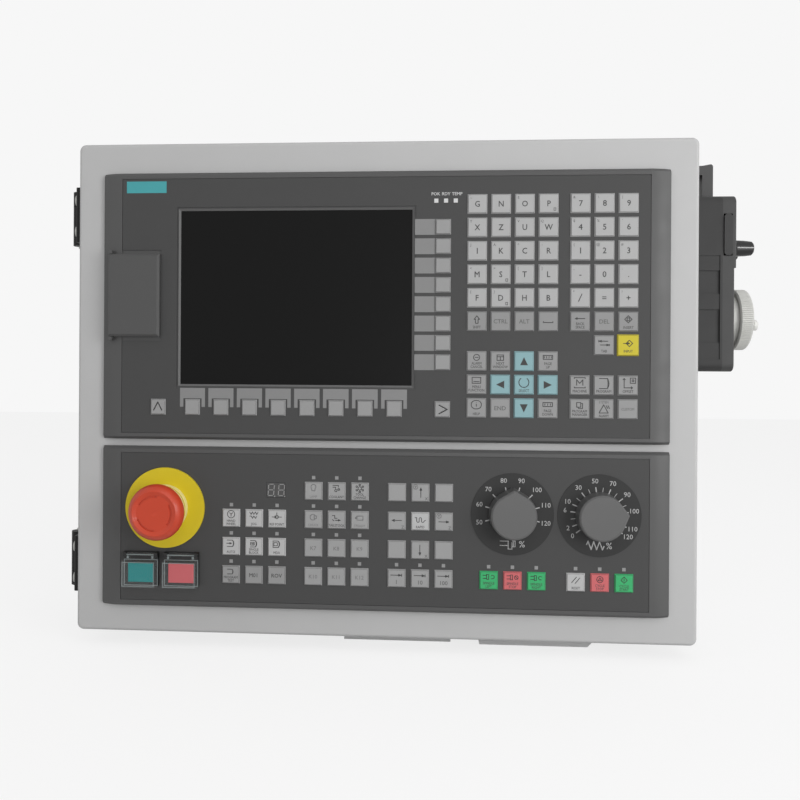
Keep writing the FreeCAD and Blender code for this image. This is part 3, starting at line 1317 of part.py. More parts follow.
def build_rear_shell():
    """Rear half of the pendant's case with recessed grip bands on both sides."""
    shell = pendant_body("pendant_rear_shell")
    outline = sketch(shell, "side")
    rectangle(outline, -half_width, -half_height, S.pendant_width, S.pendant_height)
    pad(shell, outline, seam)
    dress(shell, "Fillet", S.pendant_corner, lambda edge: runs(edge, "x"))
    dress(shell, "Fillet", S.pendant_round, lambda edge: lies(edge, "x", 0))
    grips = []
    for top, bottom, depth in ((S.grip_top, S.grip_bottom, S.grip_depth),
                               (S.upper_band_top, S.upper_band_bottom, S.band_depth),
                               (S.lower_band_top, S.lower_band_bottom, S.band_depth)):
        band = sketch(shell, "front", half_width)
        rectangle(band, -SLACK, bottom, S.grip_end + SLACK, top - bottom)
        grips.append(cut(shell, band, depth))
    mirrored(shell, grips, "front")
    cross_hollow(shell, seam, seam - S.pendant_wall, False)
    bores = sketch(shell, "side", -SLACK)
    heads = sketch(shell, "side", -SLACK)
    for across, up in screw_places():
        circle(bores, across, up, S.case_screw_radius + S.case_screw_clearance)
        circle(heads, across, up, S.case_screw_head + S.case_screw_clearance)
    cut(shell, bores, seam + SLACK * 2, back=True)
    cut(shell, heads, S.case_screw_head_height + SLACK, back=True)
    inlet = sketch(shell, "top", -half_height - SLACK)
    circle(inlet, S.inlet_out, 0, S.inlet_radius)
    cut(shell, inlet, S.pendant_wall + SLACK * 2, back=True)


def build_front_shell():
    """Front half of the pendant's case, lower under the handwheel than under the selectors."""
    shell = pendant_body("pendant_front_shell")
    outline = sketch(shell, "front")
    profile(outline, [(seam, -half_height), (lower_face, -half_height),
                      (lower_face, S.pendant_step_height), (upper_face, S.pendant_step_height),
                      (upper_face, half_height), (seam, half_height)])
    pad(shell, outline, S.pendant_width, both=True)

    def corner(edge):
        box = edge.BoundBox
        outer = max(abs(box.YMin), abs(box.YMax)) > half_width.number - NEAR
        return runs(edge, "x") and outer and abs(box.ZMin) > half_height.number - NEAR

    def face_edge(edge):
        outer = lies(edge, "x", lower_face) or lies(edge, "x", upper_face)
        across_step = runs(edge, "y") and lies(edge, "z", S.pendant_step_height)
        return outer and not across_step

    dress(shell, "Fillet", S.pendant_corner, corner)
    dress(shell, "Fillet", S.pendant_face_round, face_edge)
    cross_hollow(shell, seam, S.front_shell_depth - S.pendant_step - S.pendant_wall, True)
    holes = sketch(shell, "side", upper_face + SLACK)
    circle(holes, 0, S.wheel_height, S.wheel_shaft_radius + S.turning_clearance)
    for across in (-S.selector_spread, S.selector_spread):
        circle(holes, across, S.selector_height, S.selector_stem_radius + S.turning_clearance)
    cut(shell, holes, S.front_shell_depth + SLACK)
    bores = sketch(shell, "side", seam)
    for across, up in screw_places():
        circle(bores, across, up, S.case_screw_radius + S.case_screw_clearance)
    cut(shell, bores, S.case_screw_bite + S.seat_gap, back=True)
    pocket = sketch(shell, "front", half_width + SLACK)
    gap = S.enable_gap
    rectangle(pocket, seam + S.enable_inset, S.enable_bottom - gap, S.enable_width + gap,
              S.enable_height + gap * 2)
    cut(shell, pocket, S.enable_depth + SLACK + S.enable_rise + gap)


def build_enable_button():
    """Long push pad in the front shell's near side."""
    button = pendant_body("enable_button")
    outline = sketch(button, "front", half_width + S.enable_rise)
    rectangle(outline, seam + S.enable_inset + S.enable_gap, S.enable_bottom,
              S.enable_width - S.enable_gap, S.enable_height)
    pad(button, outline, S.enable_rise + S.enable_depth, back=True)
    dress(button, "Fillet", S.enable_corner, lambda edge: runs(edge, "y"))


def build_hanger():
    """Hook on top of the pendant and the wall holder that it hangs in."""
    holder_top = half_height + S.hook_rise
    bar_low = holder_top - S.hook_bar
    hook = pendant_body("pendant_hook")
    outline = sketch(hook, "front")
    tip_left = S.holder_plate + S.seat_gap - S.pendant_standoff
    shelf_top = half_height + S.holder_shelf_above + S.holder_lip
    profile(outline, [
        (S.hook_out, half_height), (S.hook_out + S.hook_thickness, half_height),
        (S.hook_out + S.hook_thickness, holder_top + S.hook_slant), (S.hook_out, holder_top),
        (tip_left, holder_top), (tip_left, shelf_top),
        (tip_left + S.hook_tip, shelf_top), (tip_left + S.hook_tip, bar_low),
        (S.hook_out, bar_low)])
    pad(hook, outline, S.hook_width, both=True)
    dress(hook, "Fillet", S.hook_round,
          lambda edge: lies(edge, "x", S.hook_out + S.hook_thickness)
          and lies(edge, "z", holder_top + S.hook_slant))
    holder = body("pendant_holder", S.box_width / 2, pendant_y, pendant_z)
    plate = S.holder_plate
    slot_out = tip_left + S.pendant_standoff + S.hook_tip + S.seat_gap
    shelf_low = half_height + S.holder_shelf_above
    side = sketch(holder, "front")
    profile(side, [
        (0, S.holder_bottom), (plate, S.holder_bottom), (plate, S.pad_bottom),
        (S.pendant_standoff, S.pad_bottom), (S.pendant_standoff, S.pad_top), (plate, S.pad_top),
        (plate, shelf_low), (slot_out + S.holder_lip, shelf_low),
        (slot_out + S.holder_lip, bar_low - S.seat_gap), (slot_out, bar_low - S.seat_gap),
        (slot_out, shelf_top), (plate, shelf_top), (plate, holder_top + S.holder_over),
        (0, holder_top + S.holder_over)])
    pad(holder, side, S.holder_width, both=True)
    bores = sketch(holder, "side", plate + SLACK)
    for up in (-S.holder_screw_height, S.holder_screw_height):
        circle(bores, 0, up, S.hinge_screw_radius + S.screw_hole_clearance)
    cut(holder, bores, plate + SLACK * 2)
    screws = [headed_screw(f"holder_screw_{number}", S.hinge_screw_radius,
                           plate + S.sheet_wall + S.screw_end, S.hinge_screw_head,
                           S.hinge_screw_head_height, S.box_width / 2 + plate, pendant_y,
                           pendant_z + up, TO_LEFT)
              for number, up in enumerate((-S.holder_screw_height, S.holder_screw_height))]
    group("holder_screws", screws)


def build_pendant_fittings():
    """Case screws, cable inlet bush and the fixed disc under the handwheel."""
    length = seam - S.case_screw_head_height + S.case_screw_bite
    screws = [headed_screw(f"case_screw_{number}", S.case_screw_radius, length,
                           S.case_screw_head, S.case_screw_head_height,
                           pendant_x + S.case_screw_head_height, pendant_y + across,
                           pendant_z + up, TO_RIGHT)
              for number, (across, up) in enumerate(screw_places())]
    group("pendant_screws", screws)
    inlet = pendant_body("pendant_inlet", S.inlet_out, 0, -half_height)
    outline = sketch(inlet, "front")
    profile(outline, [(S.inlet_bore, 0), (S.inlet_radius, 0), (S.inlet_radius, S.inlet_length),
                      (S.inlet_bore, S.inlet_length)])
    turned(inlet, outline)
    dial = pendant_body("handwheel_dial", lower_face, 0, S.wheel_height)
    disc = sketch(dial, "side")
    circle(disc, 0, 0, S.wheel_dial_radius)
    circle(disc, 0, 0, S.wheel_shaft_radius + S.seat_gap)
    pad(dial, disc, S.wheel_dial_thickness)
    dress(dial, "Chamfer", S.wheel_dial_bevel,
          lambda edge: lies(edge, "x", S.wheel_dial_thickness)
          and edge.BoundBox.YLength > S.wheel_dial_radius.number)


def build_selector(label, across):
    """Pointer knob on a skirt, with a stem into the front shell."""
    knob = pendant_body(label, upper_face, across, S.selector_height)
    outline = sketch(knob, "front")
    gap = S.seat_gap
    profile(outline, [(-S.selector_stem, 0), (gap, 0), (S.selector_rise, 0),
                      (S.selector_rise, S.selector_radius - S.selector_edge),
                      (S.selector_rise - S.selector_edge, S.selector_radius),
                      (S.selector_skirt, S.selector_root_radius),
                      (gap + S.crank_edge, S.selector_skirt_radius),
                      (gap, S.selector_skirt_radius), (gap, S.selector_stem_radius),
                      (-S.selector_stem, S.selector_stem_radius)])
    turned(knob, outline, "H_Axis")
    flats = sketch(knob, "side", S.selector_rise + SLACK)
    reach = S.selector_skirt_radius + SLACK
    for low in (S.selector_grip / 2, -(S.selector_grip / 2) - reach):
        rectangle(flats, -reach, low, reach * 2, reach)
    cut(knob, flats, S.selector_rise + SLACK - S.selector_skirt)


def build_handwheel():
    """Knurled handwheel with hub, dished face and stud, its shaft and its small crank knob."""
    wheel = pendant_body("handwheel", lower_face, 0, S.wheel_height)
    outline = sketch(wheel, "front")
    start = S.wheel_start
    end = start + S.wheel_width
    hub = S.wheel_dial_thickness + S.wheel_hub_gap
    edge = S.wheel_edge
    dish = S.wheel_dish_radius
    profile(outline, [(hub, S.wheel_shaft_radius), (hub, S.wheel_hub_radius),
                      (start, S.wheel_hub_radius), (start, S.wheel_radius - S.wheel_back_edge),
                      (start + S.wheel_back_edge, S.wheel_radius), (end - edge, S.wheel_radius),
                      (end, S.wheel_radius - edge), (end, dish + edge), (end - edge, dish),
                      (end - S.wheel_dish, dish - edge), (end - S.wheel_dish, 0),
                      (end - S.wheel_hub_depth, 0), (end - S.wheel_hub_depth, S.wheel_shaft_radius)],
            {5: ("DistanceX", end - edge)})
    turned(wheel, outline, "H_Axis")
    knurl = sketch(wheel, "side", end + SLACK)
    deep = S.wheel_radius - S.knurl_depth
    over = S.wheel_radius + S.knurl_over
    profile(knurl, [(0, deep), (S.knurl_half_width, over), (-S.knurl_half_width, over)])
    groove = cut(wheel, knurl, S.wheel_width + SLACK - S.wheel_back_edge)
    around(wheel, groove, "N_Axis", S.knurls)
    crank_across = -(S.crank_reach * math.cos(math.radians(SIZES["crank_angle"])))
    crank_up = -(S.crank_reach * math.sin(math.radians(SIZES["crank_angle"])))
    boss = sketch(wheel, "side", end - S.wheel_dish - SLACK)
    circle(boss, crank_across, crank_up, S.crank_boss_radius)
    pad(wheel, boss, SLACK + S.wheel_dish)
    stud = sketch(wheel, "side", end - SLACK)
    circle(stud, crank_across, crank_up, S.crank_stud_radius)
    stud_top = S.crank_height - S.crank_cap
    pad(wheel, stud, SLACK + stud_top)
    shaft = pendant_body("handwheel_shaft", lower_face, 0, S.wheel_height)
    rod = sketch(shaft, "side", -S.wheel_shaft_end)
    circle(rod, 0, 0, S.wheel_shaft_radius)
    pad(shaft, rod, S.wheel_shaft_end + end - S.wheel_hub_depth)
    crank = pendant_body("crank_knob", lower_face + end + S.crank_gap,
                         crank_across, S.wheel_height + crank_up)
    side = sketch(crank, "front")
    bore = S.crank_stud_radius + S.turning_clearance
    top = S.crank_height - S.crank_gap
    profile(side, [(0, bore), (0, S.crank_boss_radius), (S.crank_edge, S.crank_radius),
                   (top - S.crank_edge, S.crank_radius), (top, S.crank_radius - S.crank_edge),
                   (top, 0), (stud_top, 0), (stud_top, bore)])
    turned(crank, side, "H_Axis")


# ---------------------------------------------------------------- build, check, write
build_front_door()
build_seal()
build_housing()
build_base()
build_grommet()
build_hinges()
build_lock()
build_upper_bezel()
build_upper_foil()
build_screen()
build_case("upper_case", upper_floor, S.upper_height, S.upper_case_depth)
build_clamps()
build_socket()
build_flap()
build_status_lamps()
build_lower_bezel()
build_lower_foil()
build_case("lower_case", lower_floor, S.lower_height, S.lower_case_depth)
build_key_lamps()
build_digits()
build_stop()
build_button("green", S.green_button_left)
build_button("red", S.red_button_left)
build_dial("spindle", S.spindle_dial_left, sized(0))
build_dial("feed", S.feed_dial_left, S.feed_rest_angle)
build_rear_shell()
build_front_shell()
build_enable_button()
build_hanger()
build_pendant_fittings()
build_selector("axis_selector", -S.selector_spread)
build_selector("rate_selector", S.selector_spread)
build_handwheel()
document.recompute()

for item in document.Objects:
    if {"Invalid", "Error"} & set(item.State):
        raise RuntimeError(f"{item.Label} did not build: {item.State}")
os.makedirs("parts", exist_ok=True)
for item in subparts:
    shape = item.Shape
    if shape.isNull() or not shape.isValid() or not shape.Solids:
        raise RuntimeError(f"{item.Label} has no valid solid")
    shape.exportStep(f"parts/{item.Label}.step")
print(len(subparts), "sub-parts written")
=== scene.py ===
import json
import logging
import math
from dataclasses import dataclass, field
from enum import Enum

import bpy
from mathutils import Matrix, Vector


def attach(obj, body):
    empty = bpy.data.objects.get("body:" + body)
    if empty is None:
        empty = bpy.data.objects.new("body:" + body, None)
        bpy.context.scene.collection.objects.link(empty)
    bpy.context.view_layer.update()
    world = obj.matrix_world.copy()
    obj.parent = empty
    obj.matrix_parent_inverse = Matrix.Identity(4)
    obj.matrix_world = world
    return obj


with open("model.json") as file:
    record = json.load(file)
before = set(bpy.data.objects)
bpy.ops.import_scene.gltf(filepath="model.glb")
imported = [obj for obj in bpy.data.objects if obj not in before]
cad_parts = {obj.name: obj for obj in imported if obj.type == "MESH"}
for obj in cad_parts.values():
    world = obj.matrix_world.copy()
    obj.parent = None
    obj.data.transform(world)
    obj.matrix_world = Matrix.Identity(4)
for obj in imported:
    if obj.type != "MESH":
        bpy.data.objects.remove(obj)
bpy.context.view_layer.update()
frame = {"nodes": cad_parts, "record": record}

MM = 0.001
Point = tuple[float, float]
Line = tuple[Point, ...]

NOISE_DETAIL = 3.0
HEAD_SPREAD = 0.4

log = logging.getLogger("console")


def linear(code: str) -> tuple[float, float, float, float]:
    """Turns a #rrggbb colour into the linear values that shaders take.

    Args:
        code: The colour as it shows on a screen.

    Returns:
        Red, green, blue and a full alpha.
    """
    parts = [int(code[at:at + 2], 16) / 255 for at in (1, 3, 5)]
    red, green, blue = [((part + 0.055) / 1.055) ** 2.4 if part > 0.04045 else part / 12.92
                        for part in parts]
    return red, green, blue, 1.0


class Nodes:
    """The shader nodes of a material or of the world."""

    def __init__(self, owner: bpy.types.Material | bpy.types.World) -> None:
        """Turns the owner's nodes on."""
        owner.use_nodes = True
        self.tree = owner.node_tree

    def feed(self, node: bpy.types.Node, inputs: dict[str | int, object]) -> None:
        """Fills a node's inputs.

        Args:
            node: The node.
            inputs: A value or another node's output for each input.
        """
        for key, value in inputs.items():
            if isinstance(value, bpy.types.NodeSocket):
                self.tree.links.new(value, node.inputs[key])
            else:
                node.inputs[key].default_value = value

    def add(self, kind: str, inputs: dict[str | int, object], output: str | int = 0,
            **settings: str) -> bpy.types.NodeSocket:
        """Adds a node.

        Args:
            kind: Its type, without ShaderNode in front.
            inputs: A value or another node's output for each input.
            output: The output wanted.
            **settings: The node's own choices, made before the inputs are filled.

        Returns:
            That output.
        """
        node = self.tree.nodes.new(f"ShaderNode{kind}")
        for name, value in settings.items():
            setattr(node, name, value)
        self.feed(node, inputs)
        return node.outputs[output]

    def noise(self, place: bpy.types.NodeSocket, scale: float) -> bpy.types.NodeSocket:
        """Adds a noise pattern of that scale."""
        inputs = {"Scale": scale, "Detail": NOISE_DETAIL, "Vector": place}
        return self.add("TexNoise", inputs, "Fac")

    def blend(self, share: bpy.types.NodeSocket, first: tuple[float, ...],
              second: tuple[float, ...]) -> bpy.types.NodeSocket:
        """Mixes two colours."""
        inputs = {"Factor": share, "A": first, "B": second}
        return self.add("Mix", inputs, "Result", data_type="RGBA")

    def surface(self, share: bpy.types.NodeSocket, first: bpy.types.NodeSocket,
                second: bpy.types.NodeSocket, end: str) -> None:
        """Mixes two shaders and links them to the end node's surface."""
        mixed = self.add("MixShader", {"Fac": share, 1: first, 2: second})
        self.feed(self.tree.nodes[end], {"Surface": mixed})


class Grain(Enum):
    """How a surface is textured: scale per metre, stretch, bump depth in metres, tint, gloss."""

    POWDER_COAT = (1500.0, (1, 1, 1), 0.00006, 0.05, 0.10)
    MOULDED = (3200.0, (1, 1, 1), 0.00003, 0.07, 0.12)
    FOIL = (5200.0, (1, 1, 1), 0.00001, 0.06, 0.10)
    PRINTED = (2600.0, (1, 1, 1), 0.000004, 0.05, 0.08)
    POLISHED = (900.0, (1, 1, 1), 0.000004, 0.03, 0.06)
    TURNED = (700.0, (1, 14, 14), 0.000006, 0.10, 0.15)
    BRUSHED = (500.0, (1, 1, 22), 0.000006, 0.12, 0.15)
    SPANGLED = (160.0, (1, 1, 1), 0.000005, 0.22, 0.20)
    RUBBER = (2400.0, (1, 1, 1), 0.00004, 0.10, 0.08)
    GLASSY = (60.0, (1, 1, 1), 0.000002, 0.02, 0.03)


BROAD = 40
BUMP = 0.6
COAT_ROUGHNESS = 0.08
LEAST_ROUGHNESS = 0.02


@dataclass(frozen=True)
class Finish:
    """One surface finish, made as a procedural material in object coordinates."""

    name: str
    color: str
    roughness: float
    grain: Grain
    metallic: float = 0.0
    specular: float = 0.4
    coat: float = 0.0
    alpha: float = 1.0

    def build(self) -> bpy.types.Material:
        """Makes the node material.

        Returns:
            The material, named after the finish.
        """
        scale, stretch, depth, tint, gloss = self.grain.value
        material = bpy.data.materials.new(self.name)
        nodes = Nodes(material)
        place = nodes.add("TexCoord", {}, "Object")
        place = nodes.add("Mapping", {"Scale": stretch, "Vector": place})
        if self.grain is Grain.SPANGLED:
            fine = nodes.add("TexVoronoi", {"Scale": scale, "Vector": place}, "Distance")
        else:
            fine = nodes.noise(place, scale)
        broad = nodes.noise(place, scale / BROAD)
        half = nodes.add("Math", {0: broad, 1: 0.5}, operation="MULTIPLY")
        share = nodes.add("Math", {0: fine, 1: 0.5, 2: half}, operation="MULTIPLY_ADD")
        base = Vector(linear(self.color)[:3])
        color = nodes.blend(share, (*(base * (1 - tint)), 1.0), (*(base * (1 + tint)), 1.0))
        sheen = nodes.add("MapRange", {"To Min": max(self.roughness - gloss, LEAST_ROUGHNESS),
                                       "To Max": min(self.roughness + gloss, 1.0), "Value": broad})
        normal = nodes.add("Bump", {"Strength": BUMP, "Distance": depth, "Height": fine})
        nodes.feed(nodes.tree.nodes["Principled BSDF"], {
            "Base Color": color, "Roughness": sheen, "Normal": normal, "Metallic": self.metallic,
            "Specular IOR Level": self.specular, "Coat Weight": self.coat,
            "Coat Roughness": COAT_ROUGHNESS, "Alpha": self.alpha})
        return material


def printed(name: str, color: str, roughness: float = 0.5) -> Finish:
    """Gives the finish of foil printed in one colour."""
    return Finish(name, color, roughness, Grain.PRINTED, specular=0.25)


def inked(name: str, color: str) -> Finish:
    """Gives the finish of a matt ink."""
    return Finish(name, color, 0.6, Grain.PRINTED, specular=0.1)


class Finishes:
    """Every finish on the console, each made once when it is first asked for."""

    NODE_FINISHES = {
        "box_paint": Finish("light_grey_powder_coat", "#b8b8b8", 0.55, Grain.POWDER_COAT,
                            coat=0.05),
        # The support plate's grey paint, made paler than the box's: painted light on its lip below
        # the box.
        "plate_paint": Finish("plate_powder_coat_lightened", "#cbcbcb", 0.55, Grain.POWDER_COAT),
        "seal_rubber": Finish("door_seal_rubber", "#202020", 0.75, Grain.RUBBER, specular=0.2),
        "hinge_metal": Finish("blackened_hinge", "#1c1c1c", 0.6, Grain.POWDER_COAT, specular=0.2),
        "fastener_steel": Finish("zinc_plated_steel", "#9d9d9a", 0.32, Grain.TURNED, metallic=0.9),
        "lock_metal": Finish("nickel_plate", "#b4b2ac", 0.25, Grain.TURNED, metallic=0.9),
        "bezel_plastic": Finish("bezel_moulding", "#4a4a4a", 0.45, Grain.MOULDED, specular=0.45),
        "foil": Finish("printed_foil", "#474747", 0.5, Grain.FOIL, specular=0.2),
        "screen_glass": Finish("matt_screen_glass", "#0e0e0e", 0.35, Grain.GLASSY, specular=0.12),
        "screen_dark": Finish("display_face", "#0c0c0c", 0.4, Grain.POLISHED),
        "case_steel": Finish("galvanised_case", "#9aa0a2", 0.42, Grain.SPANGLED, metallic=0.85),
        "clamp_metal": Finish("clamp_steel", "#8c8c8a", 0.4, Grain.BRUSHED, metallic=0.85),
        "port_plastic": Finish("socket_moulding", "#191919", 0.5, Grain.MOULDED),
        "flap_plastic": Finish("flap_moulding", "#505050", 0.5, Grain.MOULDED, specular=0.3),
        "lamp_lens": Finish("lamp_lens", "#8e8e8e", 0.3, Grain.POLISHED, coat=0.2),
        "status_lens": Finish("status_lens", "#cfcfcf", 0.3, Grain.POLISHED, coat=0.2),
        "digit_window": Finish("digit_window", "#4e4e4e", 0.4, Grain.POLISHED, specular=0.25),
        "stop_yellow": Finish("yellow_moulding", "#d4bf24", 0.45, Grain.MOULDED, specular=0.3),
        "stop_red": Finish("red_moulding", "#c33f22", 0.42, Grain.POLISHED, coat=0.1),
        "black_plastic": Finish("black_moulding", "#161616", 0.4, Grain.MOULDED),
        "shaft_metal": Finish("ground_shaft", "#a4a4a4", 0.28, Grain.TURNED, metallic=0.95),
        "cap_green": Finish("teal_cap", "#0c8383", 0.4, Grain.POLISHED, specular=0.15),
        "cap_red": Finish("rose_cap", "#c85a60", 0.4, Grain.POLISHED, specular=0.15),
        "clear_plastic": Finish("clear_cover", "#e4ecec", 0.12, Grain.GLASSY, alpha=0.03,
                                specular=0.1),
        "dial_plate": Finish("dial_disc", "#333333", 0.5, Grain.FOIL, specular=0.2),
        "knob_plastic": Finish("knob_moulding", "#575757", 0.4, Grain.MOULDED, coat=0.25),
        "pendant_plastic": Finish("pendant_moulding", "#2f2f2f", 0.5, Grain.MOULDED, specular=0.3),
        "hook_paint": Finish("hook_coating", "#3f3f3f", 0.45, Grain.POWDER_COAT),
        "wheel_metal": Finish("satin_wheel", "#c4c4c0", 0.45, Grain.TURNED, metallic=0.1),
        "crank_plastic": Finish("ivory_knob", "#dededa", 0.35, Grain.POLISHED, coat=0.2),
        "enable_rubber": Finish("button_rubber", "#383838", 0.6, Grain.RUBBER, specular=0.3),
    }
    LIGHT_KEY = printed("light_key", "#acacac")
    GREY_KEY = printed("grey_key", "#949494")
    DULL_KEY = printed("dull_key", "#9c9c9c")
    SOFT_KEY = printed("soft_key", "#979797")
    MODE_KEY = printed("mode_key", "#b7b7b7")
    SHIFT_KEY = printed("shift_key", "#8f8f8f")
    CYAN_KEY = printed("cyan_key", "#88abb0")
    YELLOW_KEY = printed("yellow_key", "#c6b838")
    GREEN_KEY = printed("green_key", "#3dab6c")
    RED_KEY = printed("red_key", "#ca696c")
    FIELD = printed("key_field_print", "#868686")
    BADGE = printed("badge_print", "#4a9fa4", 0.45)
    # Screen rim: the bezel grey lightened, painted light on the lit walls of the window's recess.
    LIT_SCREEN_RIM = printed("screen_rim_painted_light", "#6a6a6a")
    DARK_INK = inked("dark_ink", "#4a4a4a")
    FAINT_INK = inked("faint_ink", "#7c7c7c")
    PALE_INK = inked("pale_ink", "#cacaca")
    MID_INK = inked("mid_ink", "#666666")
    DIAL_INK = inked("dial_ink", "#b4b4b4")
    # The pendant plastic in a lighter copy for the front shell: painted light from the lamp on the
    # right.
    LIT_FRONT_SHELL = Finish("pendant_front_painted_light", "#404040", 0.5, Grain.MOULDED, specular=0.3)
    SEGMENT = Finish("digit_segments", "#979797", 0.4, Grain.POLISHED)
    # Cream sleeve colour: partly the ring's own, partly a painted highlight.
    COLLAR_WITH_HIGHLIGHT = Finish("pale_collar_painted_highlight", "#e6dc9a", 0.45, Grain.MOULDED)
    # Whitish and half clear: painted highlights on the edges of the clear covers.
    COVER_HIGHLIGHT = Finish("cover_painted_highlight", "#a9b4b4", 0.3, Grain.POLISHED, alpha=0.5)

    def __init__(self) -> None:
        """Starts with no finish made."""
        self._made: dict[Finish, bpy.types.Material] = {}

    def material(self, finish: Finish) -> bpy.types.Material:
        """Gives the material of a finish.

        Args:
            finish: The finish wanted.

        Returns:
            Its material, made on the first call.
        """
        if finish not in self._made:
            self._made[finish] = finish.build()
        return self._made[finish]

    def dress_nodes(self) -> None:
        """Lays each node's finish on the slot it was made with."""
        for part in frame["record"]["subparts"]:
            node = frame["nodes"][part["node"]]
            finish = self.NODE_FINISHES[part["material_slot"]]
            # The front shell takes the lighter copy of the pendant plastic, painted light from the
            # right.
            if part["node"] == "pendant_front_shell":
                finish = self.LIT_FRONT_SHELL
            for slot in node.material_slots:
                slot.material = self.material(finish)


class Bench:
    """Shaping steps shared by all pieces."""

    @staticmethod
    def clear() -> None:
        """Deselects everything."""
        bpy.ops.object.select_all(action="DESELECT")

    @staticmethod
    def pick(objects: list[bpy.types.Object]) -> None:
        """Selects some objects alone.

        Args:
            objects: The objects; the first one becomes active.
        """
        Bench.clear()
        for item in objects:
            item.select_set(True)
        bpy.context.view_layer.objects.active = objects[0]

    @staticmethod
    def settle(item: bpy.types.Object) -> None:
        """Moves an object's place, turn and scale into its mesh."""
        Bench.pick([item])
        bpy.ops.object.transform_apply(location=True, rotation=True, scale=True)

    @staticmethod
    def copy(item: bpy.types.Object, place: Matrix) -> bpy.types.Object:
        """Copies a piece with a mesh of its own.

        Args:
            item: The piece to copy.
            place: Where the copy goes.

        Returns:
            The copy.
        """
        twin = item.copy()
        twin.data = item.data.copy()
        bpy.context.collection.objects.link(twin)
        twin.matrix_world = place
        return twin

    @staticmethod
    def join(objects: list[bpy.types.Object], name: str) -> bpy.types.Object:
        """Joins pieces of one finish and settles the result.

        Args:
            objects: The pieces.
            name: The name of the whole.

        Returns:
            The joined object.
        """
        Bench.pick(objects)
        if len(objects) > 1:
            bpy.ops.object.join()
        whole = bpy.context.view_layer.objects.active
        whole.name = whole.data.name = name
        Bench.settle(whole)
        return whole

    @staticmethod
    def edit(item: bpy.types.Object, choice: str = "SELECT") -> None:
        """Opens a mesh for editing.

        Args:
            item: The mesh object.
            choice: SELECT for all of it, DESELECT for none.
        """
        Bench.pick([item])
        bpy.ops.object.mode_set(mode="EDIT")
        bpy.ops.mesh.select_all(action=choice)

    @staticmethod
    def close() -> None:
        """Ends editing."""
        bpy.ops.object.mode_set(mode="OBJECT")

    @staticmethod
    def plate(width: float, height: float) -> bpy.types.Object:
        """Adds a flat rectangle round the origin and opens it for editing.

        Args:
            width: Width in mm.
            height: Height in mm.

        Returns:
            The rectangle.
        """
        Bench.clear()
        bpy.ops.mesh.primitive_plane_add(size=MM)
        plate = bpy.context.object
        plate.scale = (width, height, 1)
        Bench.settle(plate)
        Bench.edit(plate)
        return plate

    @staticmethod
    def ring(size: Point, band: float, drop: float, place: Matrix) -> bpy.types.Object:
        """Models a rectangular ring.

        Args:
            size: Outer width and height in mm.
            band: Width of the ring in mm.
            drop: How far its inner edge lies lower, in mm.
            place: Where it goes.

        Returns:
            The ring.
        """
        ring = Bench.plate(*size)
        bpy.ops.mesh.inset(thickness=band * MM, depth=-drop * MM)
        bpy.ops.mesh.delete(type="FACE")
        Bench.close()
        ring.matrix_world = place
        return ring


@dataclass(frozen=True)
class Face:
    """A flat front that pieces are laid on, measured from its upper left corner in mm."""

    left: float
    top: float
    level: float

    def place(self, across: float, down: float, rise: float, turn: float = 0.0) -> Matrix:
        """Finds a spot on the face.

        Args:
            across: Distance from the left edge.
            down: Distance from the upper edge.
            rise: Height above the face.
            turn: Clockwise turn as seen from the front, in degrees.

        Returns:
            The transform that lays a flat piece there, facing the operator.
        """
        spot = Vector((self.left + across, self.level - rise, self.top - down)) * MM
        return (Matrix.Translation(spot) @ Matrix.Rotation(math.radians(90), 4, "X")
                @ Matrix.Rotation(math.radians(-turn), 4, "Z"))


UPPER = Face(-210.0, 358.5, -96.0)
LOWER = Face(-210.0, 153.0, -96.0)


@dataclass
class Piece:
    """Hands a finished object its material and body."""

    finishes: Finishes

    def hand_over(self, item: bpy.types.Object, finish: Finish, slot: str, body: str) -> None:
        """Dresses a piece and lets it ride.

        Args:
            item: The piece, in place.
            finish: Its finish.
            slot: The material slot it belongs to; not used.
            body: The moving body that carries it.
        """
        item.data.materials.clear()
        item.data.materials.append(self.finishes.material(finish))
        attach(item, body)


@dataclass(frozen=True)
class KeyBlock:
    """A block of equal key caps on a face, in mm. The sizes given are those of the upper unit."""

    name: str
    finish: Finish
    left: float
    top: float
    columns: int
    rows: int
    width: float = 14.3
    height: float = 14.3
    pitch: float = 17.15
    row_pitch: float = 17.15
    skip: tuple[tuple[int, int], ...] = ()
    only: tuple[tuple[int, int], ...] = ()

    def centres(self) -> list[Point]:
        """Lists the middles of the block's keys, row by row.

        Returns:
            Distances from the face's left and upper edge.
        """
        spots = [(row, column) for row in range(self.rows) for column in range(self.columns)]
        return [(self.left + self.width / 2 + column * self.pitch,
                 self.top + self.height / 2 + row * self.row_pitch) for row, column in spots
                if (row, column) not in self.skip and (not self.only or (row, column) in self.only)]


